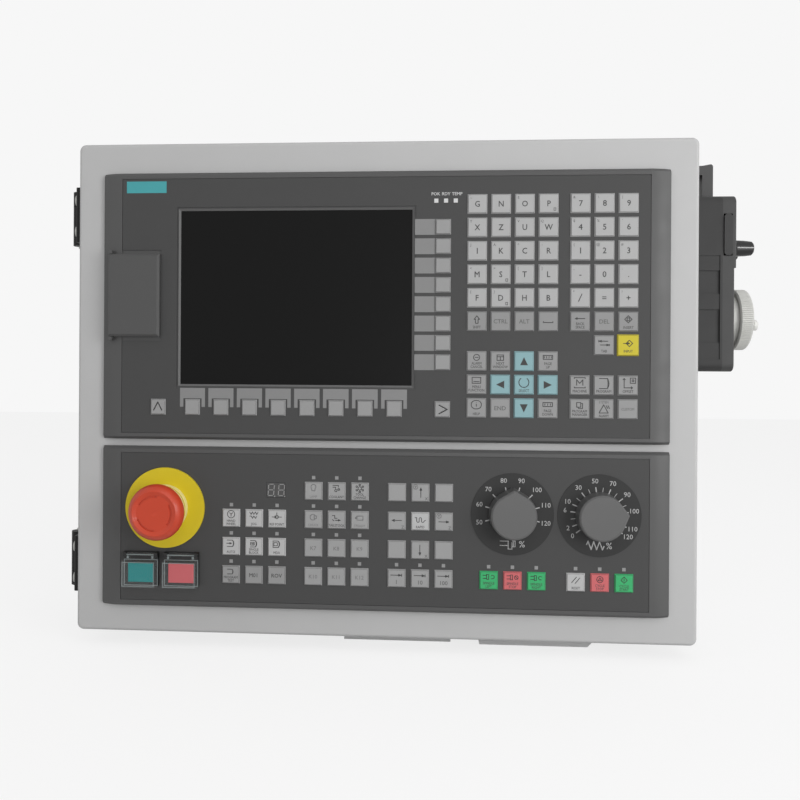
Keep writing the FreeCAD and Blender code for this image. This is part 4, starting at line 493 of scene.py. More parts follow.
@dataclass
class KeyCaps(Piece):
    """Domed foil keys, in mm: frustums with a rounded rim, shaped once for each size and copied."""

    rise: float = 1.2
    slope: float = 0.62
    rim: float = 0.35
    rim_drop: float = 0.14
    rim_shares: Point = (0.7, 0.3)
    cover: float = 0.05
    shapes: dict[Point, bpy.types.Object] = field(default_factory=dict)

    def shape(self, width: float, height: float) -> bpy.types.Object:
        """Models one cap, or gives the one already modelled in that size.

        Args:
            width: Width at the foot.
            height: Height at the foot.

        Returns:
            The cap, standing on the origin and pointing up.
        """
        if (width, height) not in self.shapes:
            foot = (width + self.cover * 2, height + self.cover * 2)
            self.shapes[(width, height)] = Bench.plate(*foot)
            wall = (self.rise - self.rim_drop + self.cover) * MM
            bpy.ops.mesh.extrude_region_move(TRANSFORM_OT_translate={"value": (0, 0, wall)})
            bpy.ops.transform.resize(value=(*[1 - self.slope * 2 / side for side in foot], 1))
            for share in self.rim_shares:
                bpy.ops.mesh.inset(thickness=self.rim * MM / 2, depth=self.rim_drop * MM * share)
            Bench.close()
        return self.shapes[(width, height)]

    def lay(self, face: Face, block: KeyBlock) -> None:
        """Copies the cap over a block and hands the block over.

        Args:
            face: The face it lies on.
            block: The block.
        """
        cap = self.shape(block.width, block.height)
        copies = [Bench.copy(cap, face.place(*centre, 0.0)) for centre in block.centres()]
        self.hand_over(Bench.join(copies, block.name), block.finish, "foil", "door")
        log.info("%s: %d keys", block.name, len(copies))

    def put_away(self) -> None:
        """Removes the model caps."""
        for cap in self.shapes.values():
            bpy.data.objects.remove(cap, do_unlink=True)
        self.shapes.clear()


def arc(x: float, y: float, radius: float, start: float, end: float, steps: int) -> Line:
    """Lists points on an arc.

    Args:
        x: Middle, across.
        y: Middle, up.
        radius: Radius.
        start: First angle in degrees, counter-clockwise from the right.
        end: Last angle.
        steps: Number of chords.

    Returns:
        The points.
    """
    angles = [math.radians(start + (end - start) * step / steps) for step in range(steps + 1)]
    return tuple((x + radius * math.cos(angle), y + radius * math.sin(angle)) for angle in angles)


def box(x: float, y: float, width: float, height: float) -> Line:
    """Lists the corners of a closed rectangle round a middle."""
    half, tall = width / 2, height / 2
    return tuple((x + half * right, y + tall * up)
                 for right, up in ((-1, -1), (1, -1), (1, 1), (-1, 1), (-1, -1)))


def path(text: str) -> tuple[Line, ...]:
    """Reads strokes: x,y pairs parted by blanks, and a bar before each further stroke."""
    return tuple(tuple(tuple(float(part) for part in point.split(",")) for point in stroke.split())
                 for stroke in text.split("|"))


def arrow(x: float, y: float, length: float, turn: float, head: float = 1.1) -> tuple[Line, ...]:
    """Lists a shaft and a closed head.

    Args:
        x: Middle, across.
        y: Middle, up.
        length: Length over all.
        turn: Direction in degrees, counter-clockwise from the right.
        head: Length of the head.

    Returns:
        The two strokes.
    """
    cosine, sine = math.cos(math.radians(turn)), math.sin(math.radians(turn))

    def at(along: float, out: float) -> Point:
        """Gives a point of the arrow."""
        return (x + along * cosine - out * sine, y + along * sine + out * cosine)

    half, wide = length / 2, head * HEAD_SPREAD
    return ((at(-half, 0), at(half, 0)),
            (at(half - head, wide), at(half, 0), at(half - head, -wide), at(half - head, wide)))


SHEET_BOW = (*arc(-0.8, 1.8, 2.6, 48, -48, 8), *arc(-1.6, 1.8, 3.1, -38, 38, 8))
SPINDLE = (*path("-3.4,3 -1.4,3 | -3.4,1.2 -1.4,1.2"), box(-0.6, 2.1, 1.2, 2.8))
SYMBOLS: dict[str, tuple[Line, ...]] = {
    "shift": path("-1.5,1 0,3 1.5,1 0.7,1 0.7,-1.2 -0.7,-1.2 -0.7,1 -1.5,1"),
    "space": path("-2.6,0.1 -2.6,-0.7 2.6,-0.7 2.6,0.1"),
    "back": arrow(0, 1.6, 5.4, 180),
    "insert": (*path("0,3.2 -2,1.2 0,-0.8 2,1.2 0,3.2"), box(0, 1.2, 1.4, 1.6)),
    "tab": (*arrow(-0.2, 2.2, 4.8, 180), *path("-2.9,1.6 -2.9,2.8"), *arrow(0.2, 0.1, 4.8, 0),
            *path("2.9,-0.5 2.9,0.7")),
    "input": (*path("0.6,2.8 2.4,1 0.6,-0.8 -1.2,1 0.6,2.8"), *arrow(-1.0, 1.0, 3.6, 0)),
    "cancel": (arc(0, 2.0, 1.7, 0, 360, 18), *path("-1,2 1,2")),
    "window": (box(0, 1.9, 3.6, 3.0), *path("-1.8,2.4 1.8,2.4 | 0,2.4 0,0.4")),
    "page_up": (box(0, 2.2, 5.2, 2.2), *[((x, 1.6), (x, 2.8)) for x in (-2.0, -0.7, 0.6, 1.9)]),
    "page_down": (box(0, 2.2, 5.2, 2.2), *[((x, 1.6), (x, 2.8)) for x in (-1.5, 0, 1.5)]),
    "menu": (box(0, 2.3, 4.8, 3.3), *path("-1.7,1.6 1.7,1.6")),
    "select": (arc(0, 1.4, 3.0, -235, 55, 22),),
    "help": ((*arc(-0.5, 1.8, 2.35, 90, 270, 10), *arc(0.5, 1.8, 2.35, -90, 90, 10), (-0.5, 4.15)),
             *path("0,0.7 0,2.2 | 0,2.7 0,3")),
    "machine": path("-3,3.5 -3,4.2 3,4.2 3,3.5 | -3,-0.8 -3,-1.5 3,-1.5 3,-0.8 |"
                    "-1.7,-0.2 -1.7,3 0,1 1.7,3 1.7,-0.2"),
    "program": (*path("-2.6,3.8 2.2,3.8"),
                (*arc(-2.5, 1.0, 5.3, 32, -32, 8), *arc(-10.9, 1.0, 13.2, -12, 12, 4)),
                *path("-2.6,-1.8 2.2,-1.8")),
    "offset": (*path("-2.1,3.9 -2.1,-1.3 2.5,-1.3 | -2.8,3.1 -2.1,3.9 -1.4,3.1 |"
                     "1.7,-2 2.5,-1.3 1.7,-0.6"), box(2.7, 2.7, 2.9, 2.9), box(2.7, 2.7, 0.9, 0.9)),
    "pages": (box(-0.5, 2.2, 2.2, 2.6), *path("0.9,3 1.6,3 1.6,0.2 -0.6,0.2 -0.6,0.7")),
    "alarm": path("-2.5,-2.2 0,2.3 2.5,-2.2 -2.5,-2.2 | 1.3,2 2.3,0.2 | 2.3,2 3.3,0.2"),
    "clock": (arc(0, 2.3, 2.2, 0, 360, 18), *path("-1,3.3 0,2.3 1,3.3 | 0,2.3 0,0.9")),
    "jog": path("-2.6,3.9 -1.7,2.4 -0.9,3.9 0,2.4 0.9,3.9 1.7,2.4 2.6,3.9 |"
                "-2.6,1.4 -1.5,1.4 -0.9,0.1 0,1.4 0.9,0.1 1.7,1.4"),
    "reference": (*path("-3,1.1 3,1.1 | 0,3.8 0,2"), arc(0, 1.1, 1.0, 0, 360, 12),
                  *path("-1.4,1.7 -0.4,1.1 -1.4,0.5")),
    "auto": (*path("-2.4,3.7 0.9,3.7"), SHEET_BOW, *path("-2.4,-0.1 0.9,-0.1"),
             *arrow(-1.2, 1.8, 3.2, 0)),
    "single": (*path("-2.2,3.7 0.9,3.7"), SHEET_BOW, *path("-2.2,-0.1 0.9,-0.1"),
               box(-0.8, 1.8, 2.2, 1.6), *arrow(-0.8, 1.8, 1.6, 0, 0.5)),
    "manual": (*path("0.9,3.7 -2.2,3.7 -2.2,-0.1 0.9,-0.1"), SHEET_BOW, box(-0.6, 1.8, 2.0, 1.8)),
    "trial": (*path("-2.2,3.2 0.9,3.2"),
              (*arc(-0.6, 1.8, 2.0, 44, -44, 8), *arc(-1.4, 1.8, 2.6, -32, 32, 8)),
              *path("-2.2,0.4 0.9,0.4")),
    "lamp": (arc(0, 2.5, 1.5, -50, 230, 14), *path("-0.95,1.35 -0.95,0.2 0.95,0.2 0.95,1.35")),
    "coolant": (*path("-2.4,3.6 1.1,3.6 1.1,2.5 | -2.4,2.5 -0.6,2.5 -0.6,1.6"),
                arc(-0.4, 0.5, 0.7, 0, 360, 10), arc(1.3, 1.2, 0.55, 0, 360, 8)),
    "tools": (arc(0, 2.0, 1.0, 0, 360, 12),
              *[arc(x, y, 0.5, 0, 360, 8) for x, y in arc(0, 2.0, 2.05, 30, 330, 5)]),
    "chuck": (arc(-0.2, 1.4, 1.7, 40, 320, 12), box(1.2, 1.4, 1.4, 1.6)),
    "tail": (*path("-2.6,2.6 -1,2.6 -1,1 0.6,1"), *arrow(0.8, -0.2, 3.0, 0),
             *path("-2.4,0.4 -1.4,-0.6")),
    "steady": (*path("-1.6,2.6 2,2.6 2,0.2 -1.6,0.2 -1.6,2.6"), *arrow(-2.0, 1.4, 1.6, 0)),
    "wave": (*path("-3.2,2.2 -2,2.2 -2,0.2"), arc(-1.3, 0.2, 0.7, 180, 360, 6),
             *path("-0.6,0.2 -0.6,1.6"), arc(0.1, 1.6, 0.7, 180, 0, 6), *path("0.8,1.6 0.8,0.2"),
             arc(1.5, 0.2, 0.7, 180, 360, 6), *path("2.2,0.2 3.2,0.8")),
    "step": (*arrow(-0.45, 1.9, 6.2, 0, 1.4), *path("3.05,1.1 3.05,2.7")),
    "up": arrow(0.3, 0.0, 5.7, 90, 1.4),
    "down": arrow(-0.1, 0.1, 5.9, 270, 1.4),
    "left": arrow(0.1, 0.4, 5.7, 180, 1.4),
    "right": arrow(-0.1, 0.0, 6.0, 0, 1.4),
    "turn_left": (*SPINDLE, arc(2.2, 2.1, 1.0, -90, 150, 8), *path("1.4,1.1 2.2,1.1")),
    "turn_stop": (*SPINDLE, arc(2.2, 2.1, 1.1, 0, 360, 10), *path("1.5,2.8 2.9,1.4")),
    "turn_right": (*SPINDLE, arc(2.2, 2.1, 1.0, 30, 270, 8), *path("2.2,1.1 3,1.1")),
    "reset": path("-2.4,-0.2 0.4,3.2 | -0.4,-0.6 2.4,2.8"),
    "halt": (arc(0, 2.0, 1.8, 0, 360, 16), *path("-1,1.4 1,1.4 0,3 -1,1.4")),
    "start": path("0,3.8 -1.8,2 0,0.2 1.8,2 0,3.8 | 0,1.2 0,2.8"),
    "back_chevron": path("-2.5,-2.1 0,2.7 2.5,-2.1"),
    "more_chevron": path("-1.9,2.5 2.7,0 -1.9,-2.5"),
    "slash": path("-1.25,-2.9 1.25,2.9"),
}


def beside(spot: Point, right: float, under: float) -> Point:
    """Gives the spot that lies that much further to the right and down."""
    return spot[0] + right, spot[1] + under


@dataclass(frozen=True)
class SmallType:
    """How the short words under a key's symbol stand, in mm from the key's middle."""

    size: float
    breadth: float
    alone: float
    first: float
    step: float


@dataclass
class Print(Piece):
    """Flat printed marks at one height over a face, one piece for each ink, in mm.

    A mark's spot is its middle, measured from the face's left and upper edge.
    """

    face: Face
    rise: float
    weight: float = 0.012
    least_step: float = 0.004
    letter_middle: float = 0.36
    flatness: float = 0.04
    overlap: float = 0.4
    corner: float = 40.0
    near: float = 1e-6
    marks: dict[Finish, list[bpy.types.Object]] = field(default_factory=dict)

    def _keep(self, item: bpy.types.Object, ink: Finish, spot: Point, turn: float = 0.0) -> None:
        """Makes a mark a mesh, places it and files it under its ink.

        Args:
            item: The mark, round the origin.
            ink: Its ink.
            spot: Its spot.
            turn: Clockwise turn in degrees.
        """
        Bench.pick([item])
        bpy.ops.object.convert(target="MESH")
        item = bpy.context.object
        item.matrix_world = self.face.place(*spot, self.rise, turn) @ item.matrix_world
        self.marks.setdefault(ink, []).append(item)

    def word(self, text: str, spot: Point, size: float, ink: Finish, breadth: float = 1.0) -> None:
        """Prints a word.

        Args:
            text: The word.
            spot: Its spot.
            size: Letter size.
            ink: The ink.
            breadth: Width of the letters against the font's.
        """
        Bench.clear()
        bpy.ops.object.text_add()
        item = bpy.context.object
        item.data.body = text
        item.data.size = size * MM
        item.data.align_x = "CENTER"
        item.data.resolution_u = 2
        drop = Matrix.Translation((0, -size * MM * self.letter_middle, 0))
        item.matrix_world = drop @ Matrix.Diagonal((breadth, 1, 1, 1))
        Bench.pick([item])
        bpy.ops.object.convert(target="CURVE")
        item = bpy.context.object
        self._close_steps(item, size * MM * self.least_step)
        item.data.offset = size * MM * self.weight
        self._keep(item, ink, spot)

    @staticmethod
    def _close_steps(item: bpy.types.Object, least: float) -> None:
        """Closes a letter's tiny corner steps, which thickening would turn inside out.

        Args:
            item: The letters as a curve.
            least: The shortest step that stays, in metres.
        """
        for spline in item.data.splines:
            points = list(spline.bezier_points)
            for one, two in zip(points, points[1:] + points[:1]):
                if (one.co - two.co).length < least:
                    two.co = one.co
                    two.handle_left = one.handle_left
                    two.handle_right = one.handle_right

    def small_words(self, words: str, spot: Point, style: SmallType, ink: Finish) -> None:
        """Prints one or two short rows of words in the lower part of a key.

        Args:
            words: The rows, with a bar between them.
            spot: The key's spot.
            style: How they stand.
            ink: The ink.
        """
        rows = words.split("|")
        for index, row in enumerate(rows):
            drop = style.alone if len(rows) == 1 else style.first + index * style.step
            self.word(row, beside(spot, 0, drop), style.size, ink, style.breadth)

    def _straights(self, line: Line, reach: float) -> list[Line]:
        """Splits a stroke at its sharp corners and lets the parts overlap there.

        Args:
            line: The stroke.
            reach: How far each part goes past its corner.

        Returns:
            The parts, none with a sharp corner.
        """
        turns = [math.atan2(two[1] - one[1], two[0] - one[0]) for one, two in zip(line, line[1:])]

        def sharp(at: int) -> bool:
            """Tells whether two chords meet there at a corner."""
            bend = math.remainder(turns[at] - turns[at - 1], math.tau)
            return abs(bend) > math.radians(self.corner)

        def past(point: Point, turn: float, way: int) -> Point:
            """Moves an end on along its chord."""
            return (point[0] + way * reach * math.cos(turn),
                    point[1] + way * reach * math.sin(turn))

        last = len(line) - 1
        corners = [0, *[at for at in range(1, last) if sharp(at)], last]
        ring = math.dist(line[0], line[-1]) < self.near and sharp(0)
        parts: list[Line] = []
        for start, end in zip(corners, corners[1:]):
            part = list(line[start:end + 1])
            if start > 0 or ring:
                part[0] = past(part[0], turns[start], -1)
            if end < last or ring:
                part[-1] = past(part[-1], turns[end - 1], 1)
            parts.append(tuple(part))
        return parts

    def strokes(self, lines: tuple[Line, ...], spot: Point, scale: float, width: float,
                ink: Finish) -> None:
        """Draws a symbol of thin strokes.

        Args:
            lines: The strokes round the symbol's middle.
            spot: Its spot.
            scale: Millimetres for one unit of the strokes.
            width: Stroke width.
            ink: The ink.
        """
        Bench.clear()
        bpy.ops.curve.primitive_bezier_curve_add()
        item = bpy.context.object
        item.data.splines.clear()
        item.data.bevel_depth = width * MM / 2
        item.data.bevel_resolution = 0
        item.data.use_fill_caps = True
        reach = self.overlap * width / scale
        for part in [part for line in lines for part in self._straights(line, reach)]:
            spline = item.data.splines.new("POLY")
            spline.points.add(len(part) - 1)
            for point, (x, y) in zip(spline.points, part):
                point.co = (x * scale * MM, y * scale * MM, 0, 1)
        item.scale = (1, 1, self.flatness)
        self._keep(item, ink, spot)

    def patch(self, spot: Point, size: Point, ink: Finish, turn: float = 0.0,
              pointed: bool = False) -> None:
        """Prints a filled rectangle, or a triangle that points up before its turn.

        Args:
            spot: Its spot.
            size: Width and height.
            ink: The ink.
            turn: Clockwise turn in degrees.
            pointed: Whether it is a triangle.
        """
        width, height = size
        Bench.clear()
        if pointed:
            bpy.ops.mesh.primitive_circle_add(vertices=3, radius=MM, fill_type="NGON")
            bpy.context.object.location = (0, -height / 6 * MM, 0)
            width, height = width / math.sqrt(3), height / 1.5
        else:
            bpy.ops.mesh.primitive_plane_add(size=MM)
        bpy.context.object.scale = (width, height, 1)
        self._keep(bpy.context.object, ink, spot, turn)

    def hand_in(self, name: str, slot: str, body: str) -> None:
        """Joins the marks of each ink and hands them over.

        Args:
            name: What the marks are.
            slot: Their material slot.
            body: The body that carries them.
        """
        for ink, items in self.marks.items():
            whole = Bench.join(items, f"{name}_{ink.name}")
            self.hand_over(whole, ink, slot, body)
            log.info("%s: %d marks", whole.name, len(items))


@dataclass
class UpperUnit(Piece):
    """The screen unit's front: printed softkey fields, key caps, legends, and a screen rim
    lightened as painted light. In mm.
    """

    letter_left: float = 273.2
    number_left: float = 347.5
    first_row: float = 18.0
    side_left: float = 249.9
    side_top: float = 36.0
    side_height: float = 11.4
    side_pitch: float = 14.2
    soft_width: float = 11.3
    soft_height: float = 11.8
    soft_pitch: float = 21.55
    soft_left: float = 63.7
    soft_top: float = 169.7
    back_left: float = 37.6
    tab_top: float = 120.9
    input_place: Point = (381.2, 120.3)
    input_size: float = 15.5
    navigation_top: float = 132.8
    menu_top: float = 149.95
    key_top: float = 1.27
    foil_top: float = 0.03
    letter_size: float = 6.0
    letter_breadth: float = 0.92
    lone_size: float = 4.3
    corner: Point = (-4.6, -4.4)
    corner_size: float = 2.7
    scale: float = 1.3
    stroke: float = 0.55
    small: SmallType = SmallType(2.75, 0.84, 4.3, 1.7, 2.5)
    rim: Point = (176.1, 132.6)
    rim_middle: Point = (146.35, 93.6)
    rim_slope: float = 1.4
    bold: float = 0.6
    chevron_stroke: float = 0.9
    select_scale: float = 1.2
    pointer: Point = (5.7, 5.9)
    flag: Line = box(0, 0, 1.4, 1.8)
    flag_spot: Point = (4.4, 4.3)
    flag_stroke: float = 0.45
    alarm_words: Point = (-4.9, 4.9)
    alarm_sizes: Point = (2.4, 2.6)
    side_field: Point = (14.7, 11.6)
    side_field_across: float = 242.2
    under_field: Point = (19.0, 7.8)
    under_field_down: float = 165.2
    leg: Point = (2.6, 6.4)
    leg_aside: float = 8.2
    leg_down: float = 172.3
    badge: Point = (30.4, 8.7)
    badge_spot: Point = (33.5, 10.85)
    lamp_words: tuple[tuple[str, float], ...] = (("POK", 249.9), ("RDY", 257.5), ("TEMP", 265.6))
    lamp_words_down: float = 17.4
    lamp_words_size: float = 3.2
    letters: str = "GNOPXZUWIKCRMSTLFDHB"
    letter_shifts: str = "~ E Y VQJA^-<>[]{}  "
    numbers: str = "789456123-0./=+"
    number_shifts: str = "&\\|$%'(@#_ ,* ?"

    def blocks(self) -> list[KeyBlock]:
        """Lists the unit's key blocks.

        Returns:
            The blocks, by finish.
        """
        shades, letters, numbers = Finishes, self.letter_left, self.number_left
        first, pitch, side, low = self.first_row, KeyBlock.pitch, self.side_left, self.soft_top
        soft, big, top = (self.soft_width, self.soft_height), self.input_size, self.navigation_top
        cursors = ((0, 2), (1, 1), (1, 2), (1, 3), (2, 2))
        return [
            KeyBlock("letter_keys", shades.LIGHT_KEY, letters, first, 4, 5),
            KeyBlock("number_keys", shades.LIGHT_KEY, numbers, first, 3, 5),
            KeyBlock("shift_keys", shades.SHIFT_KEY, letters, first + 5 * pitch, 4, 1),
            KeyBlock("edit_keys", shades.SHIFT_KEY, numbers, first + 5 * pitch, 3, 1),
            KeyBlock("tab_key", shades.GREY_KEY, numbers + pitch, self.tab_top, 1, 1),
            KeyBlock("input_key", shades.YELLOW_KEY, *self.input_place, 1, 1, big, big),
            KeyBlock("navigation_keys", shades.GREY_KEY, letters, top, 4, 3, skip=cursors),
            KeyBlock("cursor_keys", shades.CYAN_KEY, letters, top, 4, 3, only=cursors),
            KeyBlock("menu_keys", shades.GREY_KEY, numbers, self.menu_top, 3, 2),
            KeyBlock("side_soft_keys", shades.SOFT_KEY, side, self.side_top, 1, 8, self.soft_width,
                     self.side_height, row_pitch=self.side_pitch),
            KeyBlock("under_soft_keys", shades.SOFT_KEY, self.soft_left, low, 8, 1, *soft,
                     self.soft_pitch),
            KeyBlock("back_key", shades.SOFT_KEY, self.back_left, low, 1, 1, *soft),
            KeyBlock("forward_key", shades.SOFT_KEY, side, low, 1, 1, *soft),
        ]

    def build(self, caps: KeyCaps) -> None:
        """Lays the caps and prints everything on them and round them.

        Args:
            caps: The maker of the caps.
        """
        for block in self.blocks():
            caps.lay(UPPER, block)
        self.print_fields()
        self.print_legends()
        self.build_rim()

    def print_fields(self) -> None:
        """Prints the fields beside and above the softkeys, the badge and the lamps' words."""
        fields = Print(self.finishes, UPPER, self.foil_top)
        for row in range(8):
            middle = self.side_top + self.side_height / 2 + row * self.side_pitch
            fields.patch((self.side_field_across, middle), self.side_field, Finishes.FIELD)
        for column in range(8):
            middle = self.soft_left + self.soft_width / 2 + column * self.soft_pitch
            fields.patch((middle, self.under_field_down), self.under_field, Finishes.FIELD)
            for side in (-self.leg_aside, self.leg_aside):
                fields.patch((middle + side, self.leg_down), self.leg, Finishes.FIELD)
        fields.patch(self.badge_spot, self.badge, Finishes.BADGE)
        for word, across in self.lamp_words:
            spot = (across, self.lamp_words_down)
            fields.word(word, spot, self.lamp_words_size, Finishes.PALE_INK)
        fields.hand_in("upper_fields", "foil", "door")

    def print_legends(self) -> None:
        """Prints everything that stands on the caps."""
        marks, ink = Print(self.finishes, UPPER, self.key_top), Finishes.DARK_INK
        blocks = {block.name: block.centres() for block in self.blocks()}
        self._print_signs(marks, blocks)
        self._print_functions(marks, blocks)
        for spot, turn in zip(blocks["cursor_keys"], (0, 270, None, 90, 180)):
            if turn is None:
                marks.strokes(SYMBOLS["select"], spot, self.select_scale, self.bold, ink)
                marks.small_words("SELECT", spot, self.small, ink)
            else:
                marks.patch(spot, self.pointer, ink, turn, pointed=True)
        marks.hand_in("upper_legends", "foil", "door")

    def _print_signs(self, marks: Print, blocks: dict[str, list[Point]]) -> None:
        """Prints the letters, the numbers and the small second signs.

        Args:
            marks: The print that takes them.
            blocks: The middles of each block's keys.
        """
        ink, small_ink = Finishes.DARK_INK, Finishes.MID_INK
        signs = [*zip(blocks["letter_keys"], self.letters, self.letter_shifts),
                 *zip(blocks["number_keys"], self.numbers, self.number_shifts)]
        for spot, sign, second in signs:
            if sign == "/":
                marks.strokes(SYMBOLS["slash"], spot, 1.0, self.bold, ink)
            else:
                breadth = self.letter_breadth if sign.isalpha() else 1.0
                marks.word(sign, spot, self.letter_size, ink, breadth)
            if second != " ":
                marks.word(second, beside(spot, *self.corner), self.corner_size, small_ink)
            if sign in "PSD":
                place = beside(spot, *self.flag_spot)
                marks.strokes((self.flag,), place, 1.0, self.flag_stroke, small_ink)

    def _print_functions(self, marks: Print, blocks: dict[str, list[Point]]) -> None:
        """Prints the symbols and words of the function keys.

        Args:
            marks: The print that takes them.
            blocks: The middles of each block's keys.
        """
        legends = {
            "shift_keys": (("shift", "SHIFT"), ("", "CTRL"), ("", "ALT"), ("space", "")),
            "edit_keys": (("back", "BACK|SPACE"), ("", "DEL"), ("insert", "INSERT")),
            "tab_key": (("tab", "TAB"),),
            "input_key": (("input", "INPUT"),),
            "navigation_keys": (("cancel", "ALARM|CANCEL"), ("window", "NEXT|WINDOW"),
                                ("page_up", "PAGE|UP"), ("menu", "MENU|FUNCTION"), ("help", "HELP"),
                                ("", "END"), ("page_down", "PAGE|DOWN")),
            "menu_keys": (("machine", "MACHINE"), ("program", "PROGRAM"), ("offset", "OFFSET"),
                          ("pages", "PROGRAM|MANAGER"), ("alarm", "ALARM"), ("", "CUSTOM")),
            "back_key": (("back_chevron", ""),),
            "forward_key": (("more_chevron", ""),),
        }
        ink, small_ink, breadth = Finishes.DARK_INK, Finishes.MID_INK, self.small.breadth
        over, under = self.alarm_words
        for name, rows in legends.items():
            for spot, (symbol, words) in zip(blocks[name], rows):
                if symbol:
                    wide = self.chevron_stroke if symbol.endswith("chevron") else self.stroke
                    marks.strokes(SYMBOLS[symbol], spot, self.scale, wide, ink)
                if symbol == "alarm":
                    small, large = self.alarm_sizes
                    marks.word("SYSTEM", beside(spot, 0, over), small, small_ink, breadth)
                    marks.word(words, beside(spot, 0, under), large, ink, breadth)
                elif symbol and words:
                    marks.small_words(words, spot, self.small, ink)
                elif words == "CUSTOM":
                    marks.word(words, spot, self.corner_size, small_ink, breadth)
                elif words:
                    marks.word(words, spot, self.lone_size, small_ink)

    def build_rim(self) -> None:
        """Models the slope round the screen's window as a lighter ring: painted light on the recess
        walls.
        """
        place = UPPER.place(*self.rim_middle, self.foil_top)
        ring = Bench.ring(self.rim, self.rim_slope, self.rim_slope, place)
        rim = Bench.join([ring], "screen_rim")
        self.hand_over(rim, Finishes.LIT_SCREEN_RIM, "foil", "door")
        log.info("screen_rim: one ring")


@dataclass
class LowerUnit(Piece):
    """The key and dial unit's printed front: key caps, legends and the two digits. In mm."""

    key: float = 13.3
    pitch: float = 17.2
    row_pitch: float = 21.07
    first_row: float = 24.8
    block_lefts: tuple[float, ...] = (92.75, 154.35, 216.1, 283.4, 346.0)
    key_top: float = 1.27
    scale: float = 1.25
    stroke: float = 0.52
    lone_size: float = 4.0
    step_size: float = 4.2
    step_drop: float = 2.6
    small: SmallType = SmallType(2.6, 0.87, 4.0, 1.9, 2.35)
    axis_spot: Point = (4.4, 4.3)
    axis_size: float = 3.2
    clock_spot: Point = (-3.5, -2.5)
    clock_scale: float = 0.75
    clock_stroke: float = 0.35
    digit: Point = (4.2, 8.4)
    digit_down: float = 31.3
    digit_stroke: float = 0.85
    dot: Point = (0.9, 0.9)
    dot_aside: float = 2.6
    dot_down: float = 36.0
    digit_gap: float = 0.5
    digit_lean: float = 0.08
    digit_level: float = -0.22
    digit_middles: Point = (129.15, 136.8)

    def blocks(self) -> list[KeyBlock]:
        """Lists the unit's key blocks.

        Returns:
            The blocks, by finish.
        """
        shades = Finishes
        modes, functions, axes, spindle, cycle = self.block_lefts
        rows = (
            ("mode_keys", shades.MODE_KEY, modes, 1, 2, (), ()),
            ("test_keys", shades.GREY_KEY, modes, 3, 1, (), ()),
            ("function_keys", shades.DULL_KEY, functions, 0, 4, (), ()),
            ("axis_keys", shades.DULL_KEY, axes, 0, 4, ((1, 1),), ()),
            ("rapid_key", shades.MODE_KEY, axes, 0, 4, (), ((1, 1),)),
            ("spindle_run_keys", shades.GREEN_KEY, spindle, 3, 1, ((0, 1),), ()),
            ("spindle_stop_key", shades.RED_KEY, spindle, 3, 1, (), ((0, 1),)),
            ("reset_key", shades.MODE_KEY, cycle, 3, 1, (), ((0, 0),)),
            ("cycle_stop_key", shades.RED_KEY, cycle, 3, 1, (), ((0, 1),)),
            ("cycle_start_key", shades.GREEN_KEY, cycle, 3, 1, (), ((0, 2),)),
        )
        return [KeyBlock(name, finish, left, self.first_row + row * self.row_pitch, 3, count,
                         self.key, self.key, self.pitch, self.row_pitch, skip, only)
                for name, finish, left, row, count, skip, only in rows]

    def build(self, caps: KeyCaps) -> None:
        """Lays the caps and prints everything on them.

        Args:
            caps: The maker of the caps.
        """
        for block in self.blocks():
            caps.lay(LOWER, block)
        self.print_legends()
        self.build_digits()

    def print_legends(self) -> None:
        """Prints the symbols and words on the caps."""
        marks = Print(self.finishes, LOWER, self.key_top)
        dark, faint, middling = Finishes.DARK_INK, Finishes.FAINT_INK, Finishes.MID_INK
        blocks = {block.name: block.centres() for block in self.blocks()}
        legends = {
            "mode_keys": (("clock", "HAND|WHEEL"), ("jog", "JOG"), ("reference", "REF POINT"),
                          ("auto", "AUTO"), ("single", "SINGLE|BLOCK"), ("manual", "MDA")),
            "test_keys": (("trial", "PROGRAM|TEST"), ("", "M01"), ("", "ROV")),
            "function_keys": (("lamp", "LAMP"), ("coolant", "COOLANT"), ("tools", "TOOL|CHANGE"),
                              ("chuck", "CHUCK"), ("tail", "TAILSTOCK"), ("steady", "STEADY"),
                              *(("", f"K{number}") for number in range(7, 13))),
            "axis_keys": (("", ""), ("up", ""), ("", ""), ("left", ""), ("right", ""), ("", ""),
                          ("down", ""), ("", ""), ("step", "1"), ("step", "10"), ("step", "100")),
            "rapid_key": (("wave", "RAPID"),),
            "spindle_run_keys": (("turn_left", "SPINDLE|LEFT"), ("turn_right", "SPINDLE|RIGHT")),
            "spindle_stop_key": (("turn_stop", "SPINDLE|STOP"),),
            "reset_key": (("reset", "RESET"),),
            "cycle_stop_key": (("halt", "CYCLE|STOP"),),
            "cycle_start_key": (("start", "CYCLE|START"),),
        }
        for name, rows in legends.items():
            for spot, (symbol, words) in zip(blocks[name], rows):
                ink = faint if words in ("LAMP", "CHUCK", "STEADY") or words[:1] == "K" else dark
                if symbol:
                    marks.strokes(SYMBOLS[symbol], spot, self.scale, self.stroke, ink)
                if symbol == "step":
                    marks.word(words, beside(spot, 0, self.step_drop), self.step_size, middling)
                elif symbol and words:
                    marks.small_words(words, spot, self.small, ink)
                elif words:
                    marks.word(words, spot, self.lone_size, ink)
        keys = blocks["axis_keys"]
        for index, letter in ((1, "X"), (3, "Z"), (4, "Z"), (6, "X")):
            marks.word(letter, beside(keys[index], *self.axis_spot), self.axis_size, middling)
        for key in (keys[1], keys[4]):
            spot = beside(key, *self.clock_spot)
            marks.strokes(SYMBOLS["clock"], spot, self.clock_scale, self.clock_stroke, middling)
        marks.hand_in("lower_legends", "foil", "door")

